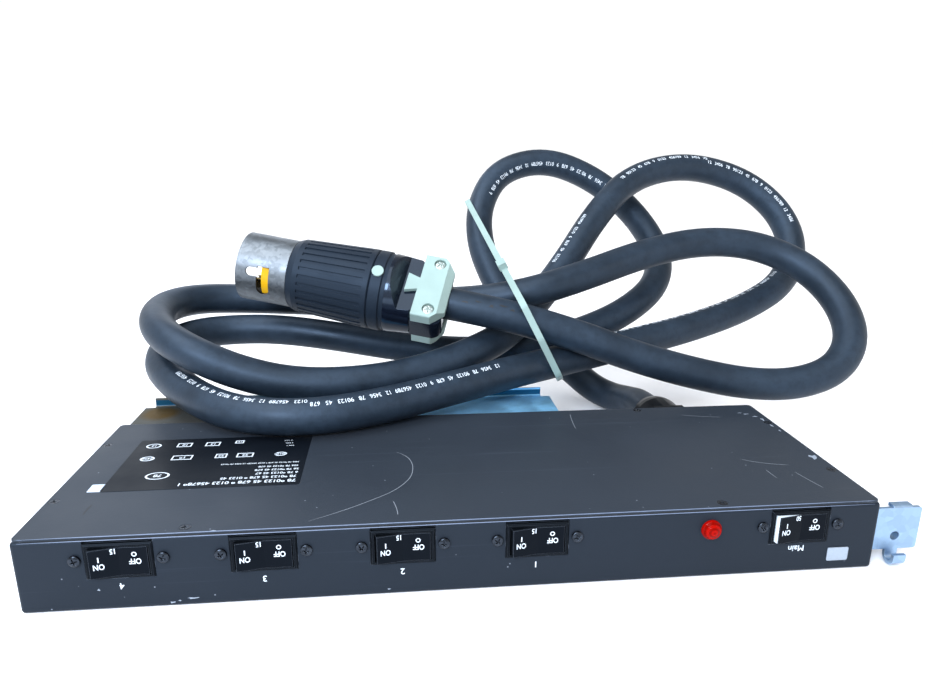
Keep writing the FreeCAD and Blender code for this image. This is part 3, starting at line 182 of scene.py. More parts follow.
# Stretches of the cord that show print: start and end along it in millimetres, and the side that it is on
PRINT_RUNS = (
    (296, 440, (0.15, -0.97, -0.05)), (1074, 1180, (-0.05, -0.28, 0.95)), (1180, 1318, (0.15, -0.5, 0.85)),
    (1428, 1622, (-0.28, -0.02, 0.95)), (1678, 1778, (-0.05, -0.78, 0.6)), (1778, 1868, (-0.1, -0.55, 0.8)),
    (1924, 1976, (-0.5, -0.37, 0.76)),
)
PRINT_WORDS = ("12", "3456", "78", "90123", "45", "678", "9", "0123", "456789")
PRINT_GAP = 3.4 * MM
CORD_INK = 0.15 * MM

# Scuffs beside the plug's clamp: place along the cord in millimetres, turn about it in degrees from the side
# given first, and length and width in millimetres
SCUFF_SIDE = (0, -0.8, 0.6)
CORD_SCUFFS = ((3352, -8, 5, 1.2), (3343, 2, 4.5, 1.0), (3333, -4, 3, 2.2), (3325, 6, 6, 1.2),
               (3318, -2, 3.5, 1.6), (3312, 4, 2.5, 1.2))

# Label and sticker on the cover, in millimetres: middle, width, height and corner radius
LABEL = ((-142.25, 9), 105.5, 70, 2)
STICKER = ((-198, -21), 7.2, 9, 0.6)

# Print of the label, in millimetres: rings (x, y, radius, stretch) and frames (x, y, width, height) that hold
# numbers, and lines of numbers (right end, y, left end, height)
LABEL_RINGS = ((-185, 34.5, 3.4, 1.35), (-183, 15.5, 3.2, 1.3), (-170, -8.5, 4.6, 1.45),
               (-105.5, 15.8, 2.8, 1.3))
LABEL_FRAMES = ((-166.5, 34.5, 8, 5), (-149.5, 34.5, 8, 5), (-133.6, 36.4, 4.5, 3.6), (-163, 15.5, 11, 5.5),
                (-126.5, 16, 9, 5), (-140.5, 16, 6, 5))
LABEL_LINES = ((-100.5, 36, -106.5, 1.2), (-99.5, 32, -105.5, 1.2), (-98.5, 28, -104.5, 1.2),
               (-92, 3.5, -139, 1.4), (-91.5, -1.5, -117, 1.9), (-91.2, -6, -118, 2.2),
               (-91, -10.5, -117, 2.4), (-90.6, -15.4, -136, 2.7), (-90.4, -20.8, -157, 3.3))
LABEL_STROKE = 0.8

# Numbers of the label: their height as a share of their ring's radius or their frame's height, the first one
# in a frame and the step to the next, and the width of a digit as a share of its height
RING_NUMBER_SHARE, FRAME_NUMBER_SHARE = 0.7, 0.5
FRAME_NUMBER, FRAME_NUMBER_STEP = 10, 3
DIGIT_SHARE = 0.64

# Wear on the cover, in millimetres: scratches, each thinner than the one before, and a short dark scrape
SCRATCHES = (
    ((-36.4, 12.5), (-30, 7), (-26.4, -6), (-27.5, -21), (-32.2, -31), (-39, -40), (-48, -47), (-63, -58),
     (-80, -67.5)),
    ((-38.2, -50), (-36, -58), (-35.8, -65)),
    ((167.8, -16.2), (177.5, -24), (192.6, -26.8)),
    ((191, -36), (193, -46), (196.2, -56.6)),
    ((160.7, 57.3), (172, 53), (186.7, 51)),
    ((84.3, 66), (82, 52), (81.7, 38.8)),
    ((175.8, -32), (176, -37), (176.8, -42.5)),
)
SCRATCH_WIDTH, SCRATCH_THINNING = 0.46, 0.02
SCRAPE = ((-193, -40), (-193.8, -45), (-193.3, -51))
SCRAPE_WIDTH = 0.7

# Chips on the cover (x, y) and the panel (x, z), with their widths and heights in millimetres
COVER_CHIPS = ((206.5, 55, 4, 1.2), (210.5, 50, 3.5, 1.4), (213, 44, 1.6, 5), (213.6, 33, 1.2, 4),
               (213.2, -17.5, 4.5, 6), (-124.7, -72.2, 2.6, 0.8), (214.5, 24, 1, 3), (203, 57.5, 3, 0.8))
PANEL_CHIPS = ((-147, 2.4, 2.6, 0.9), (-143.6, 3.2, 1.4, 0.7), (-137, 4.2, 5.4, 0.8),
               (-180.8, 11.5, 1.2, 1.0), (-41, 3.2, 1.6, 0.6))

# Lines along the cover's front lip, in millimetres: piece, finish, tint, speckle, the way they face, and rows
# of y and z from the lip's upper edge and width. The dark line is painted shade in the gap under the cover,
# and the pale lines are painted highlights on the cover's upper edge and on the panel's bend below it
LIP_LINES = (
    ("cover_gap", "Shaded gap under the cover", "#06080b", 2, FRONT, ((-0.1, -1.25, 0.5),)),
    ("rubbed_edges", "Rubbed powder coat edge", "#66748c", 9, (0, -1, 1),
     ((-0.05, 0.02, 0.4), (-0.35, -1.85, 0.45))),
)
LIP_END = 3 * MM
LIP_STEPS = 60

# Thin strips of wear, painted shade and painted highlight: the share of their width at the tips, and how fast
# they widen from there
TIP_SHARE, TIP_TAPER = 0.25, 3

# Outline of a chip: how far its corners reach and stray, and the steps that make chips and corners differ
CHIP_REACH, CHIP_STRAY = 0.5, 0.22
CHIP_STEP, CORNER_STEP = 3.1, 2.3

# Pilot lens from its foot to its top, as shares of its radius and height, and the spacing of its rings
LENS_PROFILE = ((1.0, 0.0), (1.0, 0.30), (0.97, 0.36), (0.90, 0.40), (0.86, 0.44), (0.82, 0.62), (0.76, 0.72),
                (0.70, 0.76), (0.66, 0.74), (0.60, 0.82), (0.46, 0.92), (0.28, 0.98), (0.10, 1.0))
LENS_RING = 2.3 * MM

# Golden patch of the tray's chromate film: its middle in millimetres, and the radii of its core and its edge
TRAY_PATCH = (-200, 98, 40)
PATCH_CORE, PATCH_EDGE = 9 * MM, 16 * MM

# Thick part of the tray's film, from its left end: where it starts to thin and where it has thinned
FILM_FULL, FILM_END = 60 * MM, 150 * MM

# Darker band of the tray: its foot and top below the upper edge, and the height over which it fades
DARK_BAND_FOOT, DARK_BAND_TOP, DARK_BAND_FADE = 5 * MM, 1.6 * MM, 0.8 * MM

# Screw heads: sizes, the fall of their faces to the rim (share of the height, and steepness), and the turn of
# the first one of a group with the step to the next
PAN_RADIUS = 2.9 * MM
PAN_HEIGHT = 1.9 * MM
PAN_FALL = (0.38, 2.4)
PAN_TURN, PAN_TURN_STEP = 0.3, 0.9
COVER_SCREW_HEIGHT = 0.9 * MM
COVER_SCREW_FALL = (0.12, 6)
COVER_TURN, COVER_TURN_STEP = 0.5, 0.7
CLAMP_SCREWS = "plug_clamp_screws"
CLAMP_SCREW_RADIUS = 4.2 * MM
CLAMP_SCREW_HEIGHT = 2.4 * MM
CLAMP_TURN, CLAMP_TURN_STEP = 0.2, 0.5

# Cross recess, as shares of the head: half width and taper of an arm, its reach, its soft edges and its depth
ARM_WIDTH, ARM_TAPER, ARM_REACH = 0.13, 1.25, 0.66
SIDE_EDGE, END_EDGE = 0.05, 0.14
RECESS_DEPTH = 0.55


def linear(code):
    """Linear colour of an sRGB hex code."""
    channels = [int(code[i:i + 2], 16) / 255 for i in (1, 3, 5)]
    return tuple(c / 12.92 if c <= 0.04045 else ((c + 0.055) / 1.055) ** 2.4 for c in channels) + (1.0,)


def shade(colour, factor):
    """A colour made darker or lighter by a factor."""
    return tuple(min(1.0, channel * factor) for channel in colour[:3]) + (1.0,)


def colour_setting(name, description, code):
    """A colour that the user can change."""
    return FloatVectorProperty(name=name, description=description, default=linear(code), subtype="COLOR",
                               size=4, min=0.0, max=1.0)


def length_setting(name, description, default):
    """A length that the user can change."""
    return FloatProperty(name=name, description=description, default=default, unit="LENGTH", min=0.0,
                         precision=5)


def light_setting(name, description, default, **kind):
    """The power or strength of a light that the user can change."""
    return FloatProperty(name=name, description=description, default=default, min=0.0, **kind)


class PowerUnitColours(PropertyGroup):
    """Colours of the unit's finishes."""
    panel: colour_setting("Panel", "Powder coat of the folded case and its front panel", "#1b2027")
    cover: colour_setting("Cover", "Powder coat of the service cover", "#2a3038")
    moulding: colour_setting("Mouldings", "Black plastic of the breakers, outlets and gland", "#06080b")
    rocker: colour_setting("Rocker face", "Black face of the rockers", "#080b10")
    carrier: colour_setting("Rocker flank", "White flank of the main rocker", "#d3dfe8")
    ink: colour_setting("Ink", "Printed lettering", "#dbe6f0")
    lens: colour_setting("Lamp lens", "Red lens of the pilot lamp", "#8a0601")
    rubber: colour_setting("Cord", "Rubber jacket of the input cord", "#1e2833")
    grip: colour_setting("Plug grip", "Ribbed grip of the plug", "#1a222c")
    nylon: colour_setting("Clamp and tie", "Natural nylon of the cord clamp and the cable tie", "#92a8a3")


class PowerUnitSizes(PropertyGroup):
    """Sizes of the printed and fitted details."""
    cord: length_setting("Cord", "Diameter of the input cord", 24 * MM)
    word: length_setting("Rocker words", "Capital height of the words on the rockers", 2.9 * MM)
    numeral: length_setting("Panel words", "Capital height of the words on the panel", 3.3 * MM)
    print: length_setting("Cord print", "Capital height of the print on the cord", 3.3 * MM)
    film: length_setting("Film", "Thickness of the labels", 0.12 * MM)
    ink: length_setting("Ink", "Height of printed ink above its face", 0.04 * MM)


class PowerUnitStage(PropertyGroup):
    """Camera, lights and floor."""
    lens: FloatProperty(name="Lens", description="Focal length of the camera", default=27.68,
                        subtype="DISTANCE_CAMERA")
    key: light_setting("Key light", "Power of the light at the front left", 19.0, unit="POWER")
    top: light_setting("Top light", "Power of the soft overhead light", 7.0, unit="POWER")
    side: light_setting("Side light", "Power of the warm light at the right", 1.0, unit="POWER")
    rear: light_setting("Rear light", "Power of the light at the rear left", 2.2, unit="POWER")
    sun: light_setting("Even light", "Strength of the even light over the floor", 2.1)
    sky: light_setting("Walls", "Strength of the light from the studio's walls", 1.06)
    ceiling: light_setting("Ceiling", "Strength of the light from the ceiling", 0.45)
    floor: colour_setting("Floor", "Matte pale floor", "#fdfdfe")


def wire(tree, node, inputs):
    """Sets or links inputs of a node."""
    for name, value in inputs.items():
        if isinstance(value, NodeSocket):
            tree.links.new(value, node.inputs[name])
        else:
            node.inputs[name].default_value = value


def add(tree, kind, inputs=None, **choices):
    """Adds a node with its settings, and sets or links its inputs."""
    node = tree.nodes.new(kind)
    for name, value in choices.items():
        setattr(node, name, value)
    wire(tree, node, inputs or {})
    return node


def finish(name, roughness, metallic=0.0, ior=1.5, shine=0.5, glint="#ffffff"):
    """A new material with its node tree, its shader and the place on the object."""
    material = bpy.data.materials.new(name)
    material.use_nodes = True
    tree = material.node_tree
    shader = tree.nodes["Principled BSDF"]
    wire(tree, shader, {"Roughness": roughness, "Metallic": metallic, "IOR": ior, "Specular IOR Level": shine,
                        "Specular Tint": linear(glint)})
    place = add(tree, "ShaderNodeTexCoord").outputs["Object"]
    return material, tree, shader, place


def softened(tree, radius):
    """Normals that round off the corners, and how nearly the faces' own normals agree with them."""
    rounded = add(tree, "ShaderNodeBevel", {"Radius": radius}, samples=4).outputs[0]
    facing = add(tree, "ShaderNodeNewGeometry").outputs["Normal"]
    square = add(tree, "ShaderNodeVectorMath", {0: rounded, 1: facing}, operation="DOT_PRODUCT")
    return rounded, square.outputs["Value"]


def powder_coat(name, colour, grain, gloss):
    """Baked powder coat on sheet steel."""
    # Resin that flowed in the oven: a satin skin with a fine orange peel, clouded and streaked by handling,
    # with specks of dust, and the steel shining through where corners were rubbed. The peel is drawn
    # coarser than life so that it shows.
    material, tree, shader, place = finish(name, gloss, shine=0.2, glint=COOL)
    peel = add(tree, "ShaderNodeTexNoise", {"Vector": place, "Scale": 1 / grain, "Detail": 3.0})
    cloud = add(tree, "ShaderNodeTexNoise", {"Vector": place, "Scale": 1 / (70 * MM), "Detail": 6.0,
                                             "Roughness": 0.62})
    tone = add(tree, "ShaderNodeMix", {0: cloud.outputs[0], 6: shade(colour, 0.78), 7: shade(colour, 1.18)},
               data_type="RGBA")
    streak_place = add(tree, "ShaderNodeMapping", {"Vector": place, "Rotation": (0.0, 0.0, 0.35),
                                                   "Scale": (1 / (160 * MM), 1 / (2.2 * MM), 1 / (2.2 * MM))})
    streak = add(tree, "ShaderNodeTexNoise", {"Vector": streak_place.outputs[0], "Scale": 1.0, "Detail": 3.0})
    faint = add(tree, "ShaderNodeMapRange", {"Value": streak.outputs[0], "From Min": 0.66, "From Max": 0.78})
    wiped = add(tree, "ShaderNodeMix", {0: faint.outputs[0], 6: tone.outputs[2], 7: shade(colour, 1.5)},
                data_type="RGBA")
    grit = add(tree, "ShaderNodeTexVoronoi", {"Vector": place, "Scale": 1 / (7 * MM)})
    chance = add(tree, "ShaderNodeSeparateColor", {"Color": grit.outputs["Color"]})
    lucky = add(tree, "ShaderNodeMath", {0: chance.outputs[0], 1: 0.72}, operation="GREATER_THAN")
    speck = add(tree, "ShaderNodeMapRange", {"Value": grit.outputs["Distance"], "From Min": 0.07,
                                             "From Max": 0.03, "To Max": 0.8})
    dust = add(tree, "ShaderNodeMath", {0: lucky.outputs[0], 1: speck.outputs[0]}, operation="MULTIPLY")
    dusty = add(tree, "ShaderNodeMix", {0: dust.outputs[0], 6: wiped.outputs[2], 7: linear("#838b97")},
                data_type="RGBA")
    rounded, square = softened(tree, 0.7 * MM)
    rubbed = add(tree, "ShaderNodeMapRange", {"Value": square, "From Min": 0.97, "From Max": 0.80})
    nick = add(tree, "ShaderNodeTexNoise", {"Vector": place, "Scale": 1 / (9 * MM), "Detail": 5.0})
    patch = add(tree, "ShaderNodeMapRange", {"Value": nick.outputs[0], "From Min": 0.56, "From Max": 0.68})
    worn = add(tree, "ShaderNodeMath", {0: rubbed.outputs[0], 1: patch.outputs[0]}, operation="MULTIPLY")
    skin = add(tree, "ShaderNodeMix", {0: worn.outputs[0], 6: dusty.outputs[2], 7: linear("#8f98a6")},
               data_type="RGBA")
    satin = add(tree, "ShaderNodeMapRange", {"Value": cloud.outputs[0], "From Min": 0.3, "From Max": 0.7,
                                             "To Min": gloss - 0.07, "To Max": gloss + 0.07})
    relief = add(tree, "ShaderNodeBump", {"Strength": 0.3, "Distance": 0.12 * MM, "Height": peel.outputs[0],
                                          "Normal": rounded})
    wire(tree, shader, {"Base Color": skin.outputs[2], "Roughness": satin.outputs[0],
                        "Normal": relief.outputs[0]})
    return material


def moulded(name, colour, gloss, grain, depth, round_off=0.3 * MM, shine=0.2, edge_wear_and_highlight=0.0):
    """Injection-moulded plastic."""
    # Plastic that took the mould's skin: an even colour with a slight cloud, a fine spark-eroded grain and
    # softly rounded corners that catch the light, painted paler at the corners, partly as wear and partly as
    # a painted highlight. The grain is drawn coarser than life so that it shows.
    material, tree, shader, place = finish(name, gloss, shine=shine, glint=COOL)
    cloud = add(tree, "ShaderNodeTexNoise", {"Vector": place, "Scale": 1 / (18 * MM), "Detail": 5.0})
    skin = add(tree, "ShaderNodeTexNoise", {"Vector": place, "Scale": 1 / grain, "Detail": 2.0})
    tone = add(tree, "ShaderNodeMix", {0: cloud.outputs[0], 6: shade(colour, 0.82), 7: shade(colour, 1.16)},
               data_type="RGBA")
    sheen = add(tree, "ShaderNodeMapRange", {"Value": cloud.outputs[0], "From Min": 0.3, "From Max": 0.7,
                                             "To Min": max(0.05, gloss - 0.06), "To Max": gloss + 0.06})
    rounded, square = softened(tree, round_off)
    # Paler at the corners: partly wear, partly a painted highlight on the rounded edges
    rubbed = add(tree, "ShaderNodeMapRange", {"Value": square, "From Min": 0.98, "From Max": 0.8,
                                              "To Max": edge_wear_and_highlight})
    worn = add(tree, "ShaderNodeMix", {0: rubbed.outputs[0], 6: tone.outputs[2], 7: linear("#7d8795")},
               data_type="RGBA")
    relief = add(tree, "ShaderNodeBump", {"Strength": 0.25, "Distance": depth, "Height": skin.outputs[0],
                                          "Normal": rounded})
    wire(tree, shader, {"Base Color": worn.outputs[2], "Roughness": sheen.outputs[0],
                        "Normal": relief.outputs[0]})
    return material


def plated(name, colour, gloss, spangle, contrast, film=None):
    """Metal with a plated or natural bright surface, and a film or a painted shade on it where one is given.
    """
    # A bright metal whose crystals reflect a little differently from one to the next, dulled in clouds
    # by handling, with edges that the rolling and bending left soft. The crystals are drawn coarser than
    # life so that they show.
    material, tree, shader, place = finish(name, gloss, metallic=1.0)
    crystal = add(tree, "ShaderNodeTexVoronoi", {"Vector": place, "Scale": 1 / spangle})
    level = add(tree, "ShaderNodeSeparateColor", {"Color": crystal.outputs["Color"]})
    cloud = add(tree, "ShaderNodeTexNoise", {"Vector": place, "Scale": 1 / (14 * MM), "Detail": 6.0})
    mixed = add(tree, "ShaderNodeMath", {0: level.outputs[0], 1: cloud.outputs[0]}, operation="MULTIPLY")
    tone = add(tree, "ShaderNodeMix", {0: mixed.outputs[0], 6: shade(colour, 1 - contrast), 7: colour},
               data_type="RGBA")
    dull = add(tree, "ShaderNodeMapRange", {"Value": cloud.outputs[0], "From Min": 0.3, "From Max": 0.7,
                                            "To Min": max(0.05, gloss - 0.08), "To Max": gloss + 0.1})
    rounded = add(tree, "ShaderNodeBevel", {"Radius": 0.4 * MM}, samples=4)
    relief = add(tree, "ShaderNodeBump", {"Strength": 0.15, "Distance": 0.05 * MM, "Height": cloud.outputs[0],
                                          "Normal": rounded.outputs[0]})
    # The film is the tray's chromate, or the painted shade inside the plug's shell
    skin = film(tree, tone.outputs[2]) if film else tone.outputs[2]
    wire(tree, shader, {"Base Color": skin, "Roughness": dull.outputs[0], "Normal": relief.outputs[0]})
    return material


def chromate(tree, zinc):
    """Chromate film over the tray's zinc."""
    # Clear blue where the film is thin, grey with a golden patch at the end where it dried thick, and a
    # darker band on the lip below its top edge.
    low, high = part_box("cord_tray")
    place = add(tree, "ShaderNodeTexCoord").outputs["Object"]
    way = add(tree, "ShaderNodeSeparateXYZ", {"Vector": place})
    reach = add(tree, "ShaderNodeVectorMath", {0: place, 1: Vector(TRAY_PATCH) * MM}, operation="DISTANCE")
    gold = add(tree, "ShaderNodeMapRange", {"Value": reach.outputs["Value"], "From Min": PATCH_EDGE,
                                            "From Max": PATCH_CORE})
    dried = add(tree, "ShaderNodeMix", {0: gold.outputs[0], 6: linear("#5f605c"), 7: linear("#5f4d2a")},
                data_type="RGBA")
    thick = add(tree, "ShaderNodeMapRange", {"Value": way.outputs["X"], "From Min": low.x + FILM_END,
                                             "From Max": low.x + FILM_FULL})
    coat = add(tree, "ShaderNodeMix", {0: thick.outputs[0], 6: zinc, 7: dried.outputs[2]}, data_type="RGBA")
    # A darker band on the lip, below its top edge
    foot = add(tree, "ShaderNodeMapRange", {"Value": way.outputs["Z"], "From Max": high.z - DARK_BAND_FOOT,
                                            "From Min": high.z - DARK_BAND_FOOT - DARK_BAND_FADE})
    edge = add(tree, "ShaderNodeMapRange", {"Value": way.outputs["Z"], "From Max": high.z - DARK_BAND_TOP,
                                            "From Min": high.z - DARK_BAND_TOP + DARK_BAND_FADE})
    dark_band = add(tree, "ShaderNodeMath", {0: foot.outputs[0], 1: edge.outputs[0]}, operation="MULTIPLY")
    tone = add(tree, "ShaderNodeMix", {0: dark_band.outputs[0], 6: coat.outputs[2], 7: linear("#1f4f6b")},
               data_type="RGBA")
    return tone.outputs[2]


def painted_inner_shade(tree, nickel):
    """Painted shade inside the plug's drawn shell, on the faces that turn back to the plug's middle."""
    # Nickel over drawn steel: a satin outside rubbed by many matings, and painted shade on its inside faces.
    geometry = add(tree, "ShaderNodeNewGeometry")
    away = add(tree, "ShaderNodeVectorMath", {0: geometry.outputs["Position"], 1: plug_place().translation},
               operation="SUBTRACT")
    outward = add(tree, "ShaderNodeVectorMath", {0: away.outputs[0], 1: geometry.outputs["True Normal"]},
                  operation="DOT_PRODUCT")
    # Faces turned back to the plug's middle take a painted shade
    inside = add(tree, "ShaderNodeMath", {0: outward.outputs["Value"], 1: 0.0}, operation="LESS_THAN")
    tone = add(tree, "ShaderNodeMix", {0: inside.outputs[0], 6: nickel, 7: linear("#23221f")},
               data_type="RGBA")
    return tone.outputs[2]


def cord_rubber(name, colour):
    """Extruded rubber jacket."""
    # Rubber that came through a die and was dragged over floors: a dull dark pitted skin with chalky bloom
    # in clouds and darker scuffs. The pits are drawn coarser than life so that they show.
    material, tree, shader, place = finish(name, 0.5, ior=1.45, shine=0.5, glint=COOL)
    bloom = add(tree, "ShaderNodeTexNoise", {"Vector": place, "Scale": 1 / (45 * MM), "Detail": 7.0,
                                             "Roughness": 0.65})
    scuff = add(tree, "ShaderNodeTexNoise", {"Vector": place, "Scale": 1 / (7 * MM), "Detail": 6.0,
                                             "Roughness": 0.7})
    pits = add(tree, "ShaderNodeTexNoise", {"Vector": place, "Scale": 1 / (2.2 * MM), "Detail": 5.0})
    chalk = add(tree, "ShaderNodeMapRange", {"Value": bloom.outputs[0], "From Min": 0.3, "From Max": 0.7})
    tone = add(tree, "ShaderNodeMix", {0: chalk.outputs[0], 6: shade(colour, 0.6), 7: shade(colour, 1.5)},
               data_type="RGBA")
    rubbed = add(tree, "ShaderNodeMapRange", {"Value": scuff.outputs[0], "From Min": 0.45, "From Max": 0.72,
                                              "To Max": 0.7})
    skin = add(tree, "ShaderNodeMix", {0: rubbed.outputs[0], 6: tone.outputs[2], 7: shade(colour, 0.5)},
               data_type="RGBA")
    dull = add(tree, "ShaderNodeMapRange", {"Value": bloom.outputs[0], "From Min": 0.3, "From Max": 0.7,
                                            "To Min": 0.38, "To Max": 0.6})
    relief = add(tree, "ShaderNodeBump", {"Strength": 0.3, "Distance": 0.3 * MM, "Height": pits.outputs[0]})
    wire(tree, shader, {"Base Color": skin.outputs[2], "Roughness": dull.outputs[0],
                        "Normal": relief.outputs[0]})
    return material


def lens_acrylic(name, colour):
    """Moulded transparent red acrylic."""
    # Clear tinted plastic with a matte inside: deep red, deeper in rings, with a faint painted glow though
    # the lamp is unlit, and a thin sharp gloss.
    material, tree, shader, place = finish(name, 0.25, ior=1.49, shine=0.06, glint="#ff5a3c")
    low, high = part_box("pilot_lens")
    away = add(tree, "ShaderNodeVectorMath", {0: place, 1: (low + high) / 2}, operation="SUBTRACT")
    flat = add(tree, "ShaderNodeVectorMath", {0: away.outputs[0], 1: (1, 0, 1)}, operation="MULTIPLY")
    reach = add(tree, "ShaderNodeVectorMath", {0: flat.outputs[0]}, operation="LENGTH")
    phase = add(tree, "ShaderNodeMath", {0: reach.outputs["Value"], 1: 2 * math.pi / LENS_RING},
                operation="MULTIPLY")
    wave = add(tree, "ShaderNodeMath", {0: phase.outputs[0]}, operation="COSINE")
    rings = add(tree, "ShaderNodeMapRange", {"Value": wave.outputs[0], "From Min": -1.0, "From Max": 1.0})
    tone = add(tree, "ShaderNodeMix", {0: rings.outputs[0], 6: shade(colour, 1.25), 7: shade(colour, 0.62)},
               data_type="RGBA")
    # A faint painted glow brightens the unlit lens
    wire(tree, shader, {"Base Color": tone.outputs[2], "Coat Weight": 0.1, "Coat Roughness": 0.05,
                        "Emission Color": colour, "Emission Strength": 0.06})
    return material


def thin_coat(name, colour, speckle, thin=0.72, full=1.12, roughness=0.55, shine=0.5):
    """Ink, paper, a bare patch, or a line of painted shade or painted highlight: a thin matte coat with a
    speckled tone.
    """
    # A thin opaque coat, matte, with specks where it was left thin. The specks are drawn coarser than life
    # so that they show.
    material, tree, shader, place = finish(name, roughness, shine=shine)
    cover = add(tree, "ShaderNodeTexNoise", {"Vector": place, "Scale": 1 / speckle, "Detail": 3.0})
    tone = add(tree, "ShaderNodeMix", {0: cover.outputs[0], 6: shade(colour, thin), 7: shade(colour, full)},
               data_type="RGBA")
    wire(tree, shader, {"Base Color": tone.outputs[2]})
    return material


def dress(material, *nodes):
    """Gives solids of the frame a finish."""
    for name in nodes:
        for place in NODES[name].material_slots:
            place.material = material


def piece(name, bm, material, body, smooth=False):
    """Makes an object from a mesh under construction and lets it ride on a body."""
    mesh = bpy.data.meshes.new(name)
    bm.to_mesh(mesh)
    bm.free()
    for polygon in mesh.polygons:
        polygon.use_smooth = smooth
    mesh.materials.append(material)
    item = bpy.data.objects.new(name, mesh)
    bpy.context.scene.collection.objects.link(item)
    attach(item, body)
    return item


def placement(x_axis, y_axis, origin):
    """A placement whose X and Y axes and origin are given."""
    x, y = Vector(x_axis).normalized(), Vector(y_axis).normalized()
    turn = Matrix((x, y, x.cross(y))).transposed()
    return Matrix.Translation(origin) @ turn.to_4x4()


def square_to(way, along):
    """A direction turned square to another one."""
    return (way - along * way.dot(along)).normalized()


def plug_place():
    """Placement of the plug: its Z runs from the cord to the blades and its X to the clamp screws' side."""
    end, before = [Vector(CORD_ROUTE[i]) * MM for i in (-1, -2)]
    along = (end - before).normalized()
    facing = square_to(Vector(PLUG_FACING), along)
    return placement(facing, along.cross(facing), end - along * CLAMP_LENGTH)


def mesh_of(curve):
    """A mesh in the place of a curve, which is removed."""
    holder = bpy.data.objects.new(curve.name, curve)
    mesh = bpy.data.meshes.new_from_object(holder)
    bpy.data.objects.remove(holder)
    bpy.data.curves.remove(curve)
    return mesh


def words_mesh(words, height, weight=REGULAR, narrow=1.0):
    """Flat outlines of some words, centred on the origin, with capitals of a height."""
    curve = bpy.data.curves.new("words", "FONT")
    curve.body = words
    curve.fill_mode = "FRONT"
    curve.offset = weight
    curve.resolution_u = LETTER_STEPS
    mesh = mesh_of(curve)
    xs = [vertex.co.x for vertex in mesh.vertices]
    ys = [vertex.co.y for vertex in mesh.vertices]
    size = height / (max(ys) - max(0.0, min(ys)))
    middle = Vector(((min(xs) + max(xs)) / 2, max(ys) / 2, 0))
    mesh.transform(Matrix.Diagonal((size * narrow, size, size, 1)) @ Matrix.Translation(-middle))
    return mesh


def put_words(bm, words, height, place, weight=REGULAR, narrow=1.0):
    """Adds flat words at a placement."""
    mesh = words_mesh(words, height, weight, narrow)
    mesh.transform(place)
    bm.from_mesh(mesh)
    bpy.data.meshes.remove(mesh)


def put_bar(bm, width, height, place):
    """Adds a flat bar at a placement."""
    corners = [Vector((x * width / 2, y * height / 2, 0)) for x, y in ((-1, -1), (1, -1), (1, 1), (-1, 1))]
    bm.faces.new([bm.verts.new(place @ corner) for corner in corners])


def circle(radius, steps, height=0.0):
    """Points of a level circle about the Z axis."""
    turns = [2 * math.pi * i / steps for i in range(steps)]
    return [Vector((radius * math.cos(turn), radius * math.sin(turn), height)) for turn in turns]


def put_rings(bm, rings, place):
    """Adds the faces between rings of points, each to the next, and gives the points of the last one."""
    rows = [[bm.verts.new(place @ point) for point in ring] for ring in rings]
    for lower, upper in zip(rows, rows[1:]):
        for i in range(len(lower)):
            j = (i + 1) % len(lower)
            bm.faces.new((lower[i], lower[j], upper[j], upper[i]))
    return rows[-1]


def put_ring(bm, outer, inner, place, steps=28):
    """Adds a flat ring at a placement."""
    put_rings(bm, [circle(radius, steps) for radius in (outer, inner)], place)


def put_plate(bm, width, height, thickness, corner, place, steps=6):
    """Adds a thin plate with rounded corners that stands up from a placement."""
    outline = []
    for k, (sx, sy) in enumerate(((1, 1), (-1, 1), (-1, -1), (1, -1))):
        centre = Vector((sx * (width / 2 - corner), sy * (height / 2 - corner), 0))
        for i in range(steps + 1):
            turn = math.pi / 2 * (k + i / steps)
            outline.append(centre + Vector((corner * math.cos(turn), corner * math.sin(turn), 0)))
    raised = [point + Vector((0, 0, thickness)) for point in outline]
    bm.faces.new(put_rings(bm, (outline, raised), place))


def put_lathe(bm, profile, place, steps=48):
    """Adds a turned form: profile points are (radius, height) from its foot to its top."""
    bm.faces.new(put_rings(bm, [circle(radius, steps, height) for radius, height in profile], place))


def put_screw(bm, radius, height, place, turn, fall=PAN_FALL, steps=48, rings=13):
    """Adds a screw head with a cross recess."""
    rows = [circle(radius, steps)]
    for k in range(rings, 0, -1):
        row = circle(radius * k / rings, steps)
        for point in row:
            point.z = head_height(point, radius, height, turn, fall)
        rows.append(row)
    middle = bm.verts.new(place @ Vector((0, 0, head_height(Vector(), radius, height, turn, fall))))
    last = put_rings(bm, rows, place)
    for i in range(steps):
        bm.faces.new((last[i], last[(i + 1) % steps], middle))


def head_height(point, radius, height, turn, fall):
    """Height of a screw head's face at a point, with the cross recess cut into it."""
    across, along = sorted((abs(point.x * math.cos(turn) + point.y * math.sin(turn)),
                            abs(point.y * math.cos(turn) - point.x * math.sin(turn))))
    arm = ARM_WIDTH * radius * (ARM_TAPER - along / radius)
    slope = min(1.0, max(0.0, (arm - across) / (SIDE_EDGE * radius)))
    reach = min(1.0, max(0.0, (ARM_REACH * radius - along) / (END_EDGE * radius)))
    share = point.length / radius
    return height * (1 - fall[0] * share ** fall[1] - RECESS_DEPTH * slope * reach)


def solids_of(node):
    """Boxes of the separate solids of a group of like pieces."""
    bm = bmesh.new()
    bm.from_mesh(NODES[node].data)
    bmesh.ops.remove_doubles(bm, verts=bm.verts, dist=WELD)
    left = set(bm.verts)
    boxes = []
    while left:
        stack = [left.pop()]
        found = []
        while stack:
            vertex = stack.pop()
            found.append(vertex.co.copy())
            for edge in vertex.link_edges:
                other = edge.other_vert(vertex)
                if other in left:
                    left.discard(other)
                    stack.append(other)
        rows = list(zip(*found))
        boxes.append((Vector([min(row) for row in rows]), Vector([max(row) for row in rows])))
    bm.free()
    return sorted(boxes, key=lambda box: tuple(box[0]))


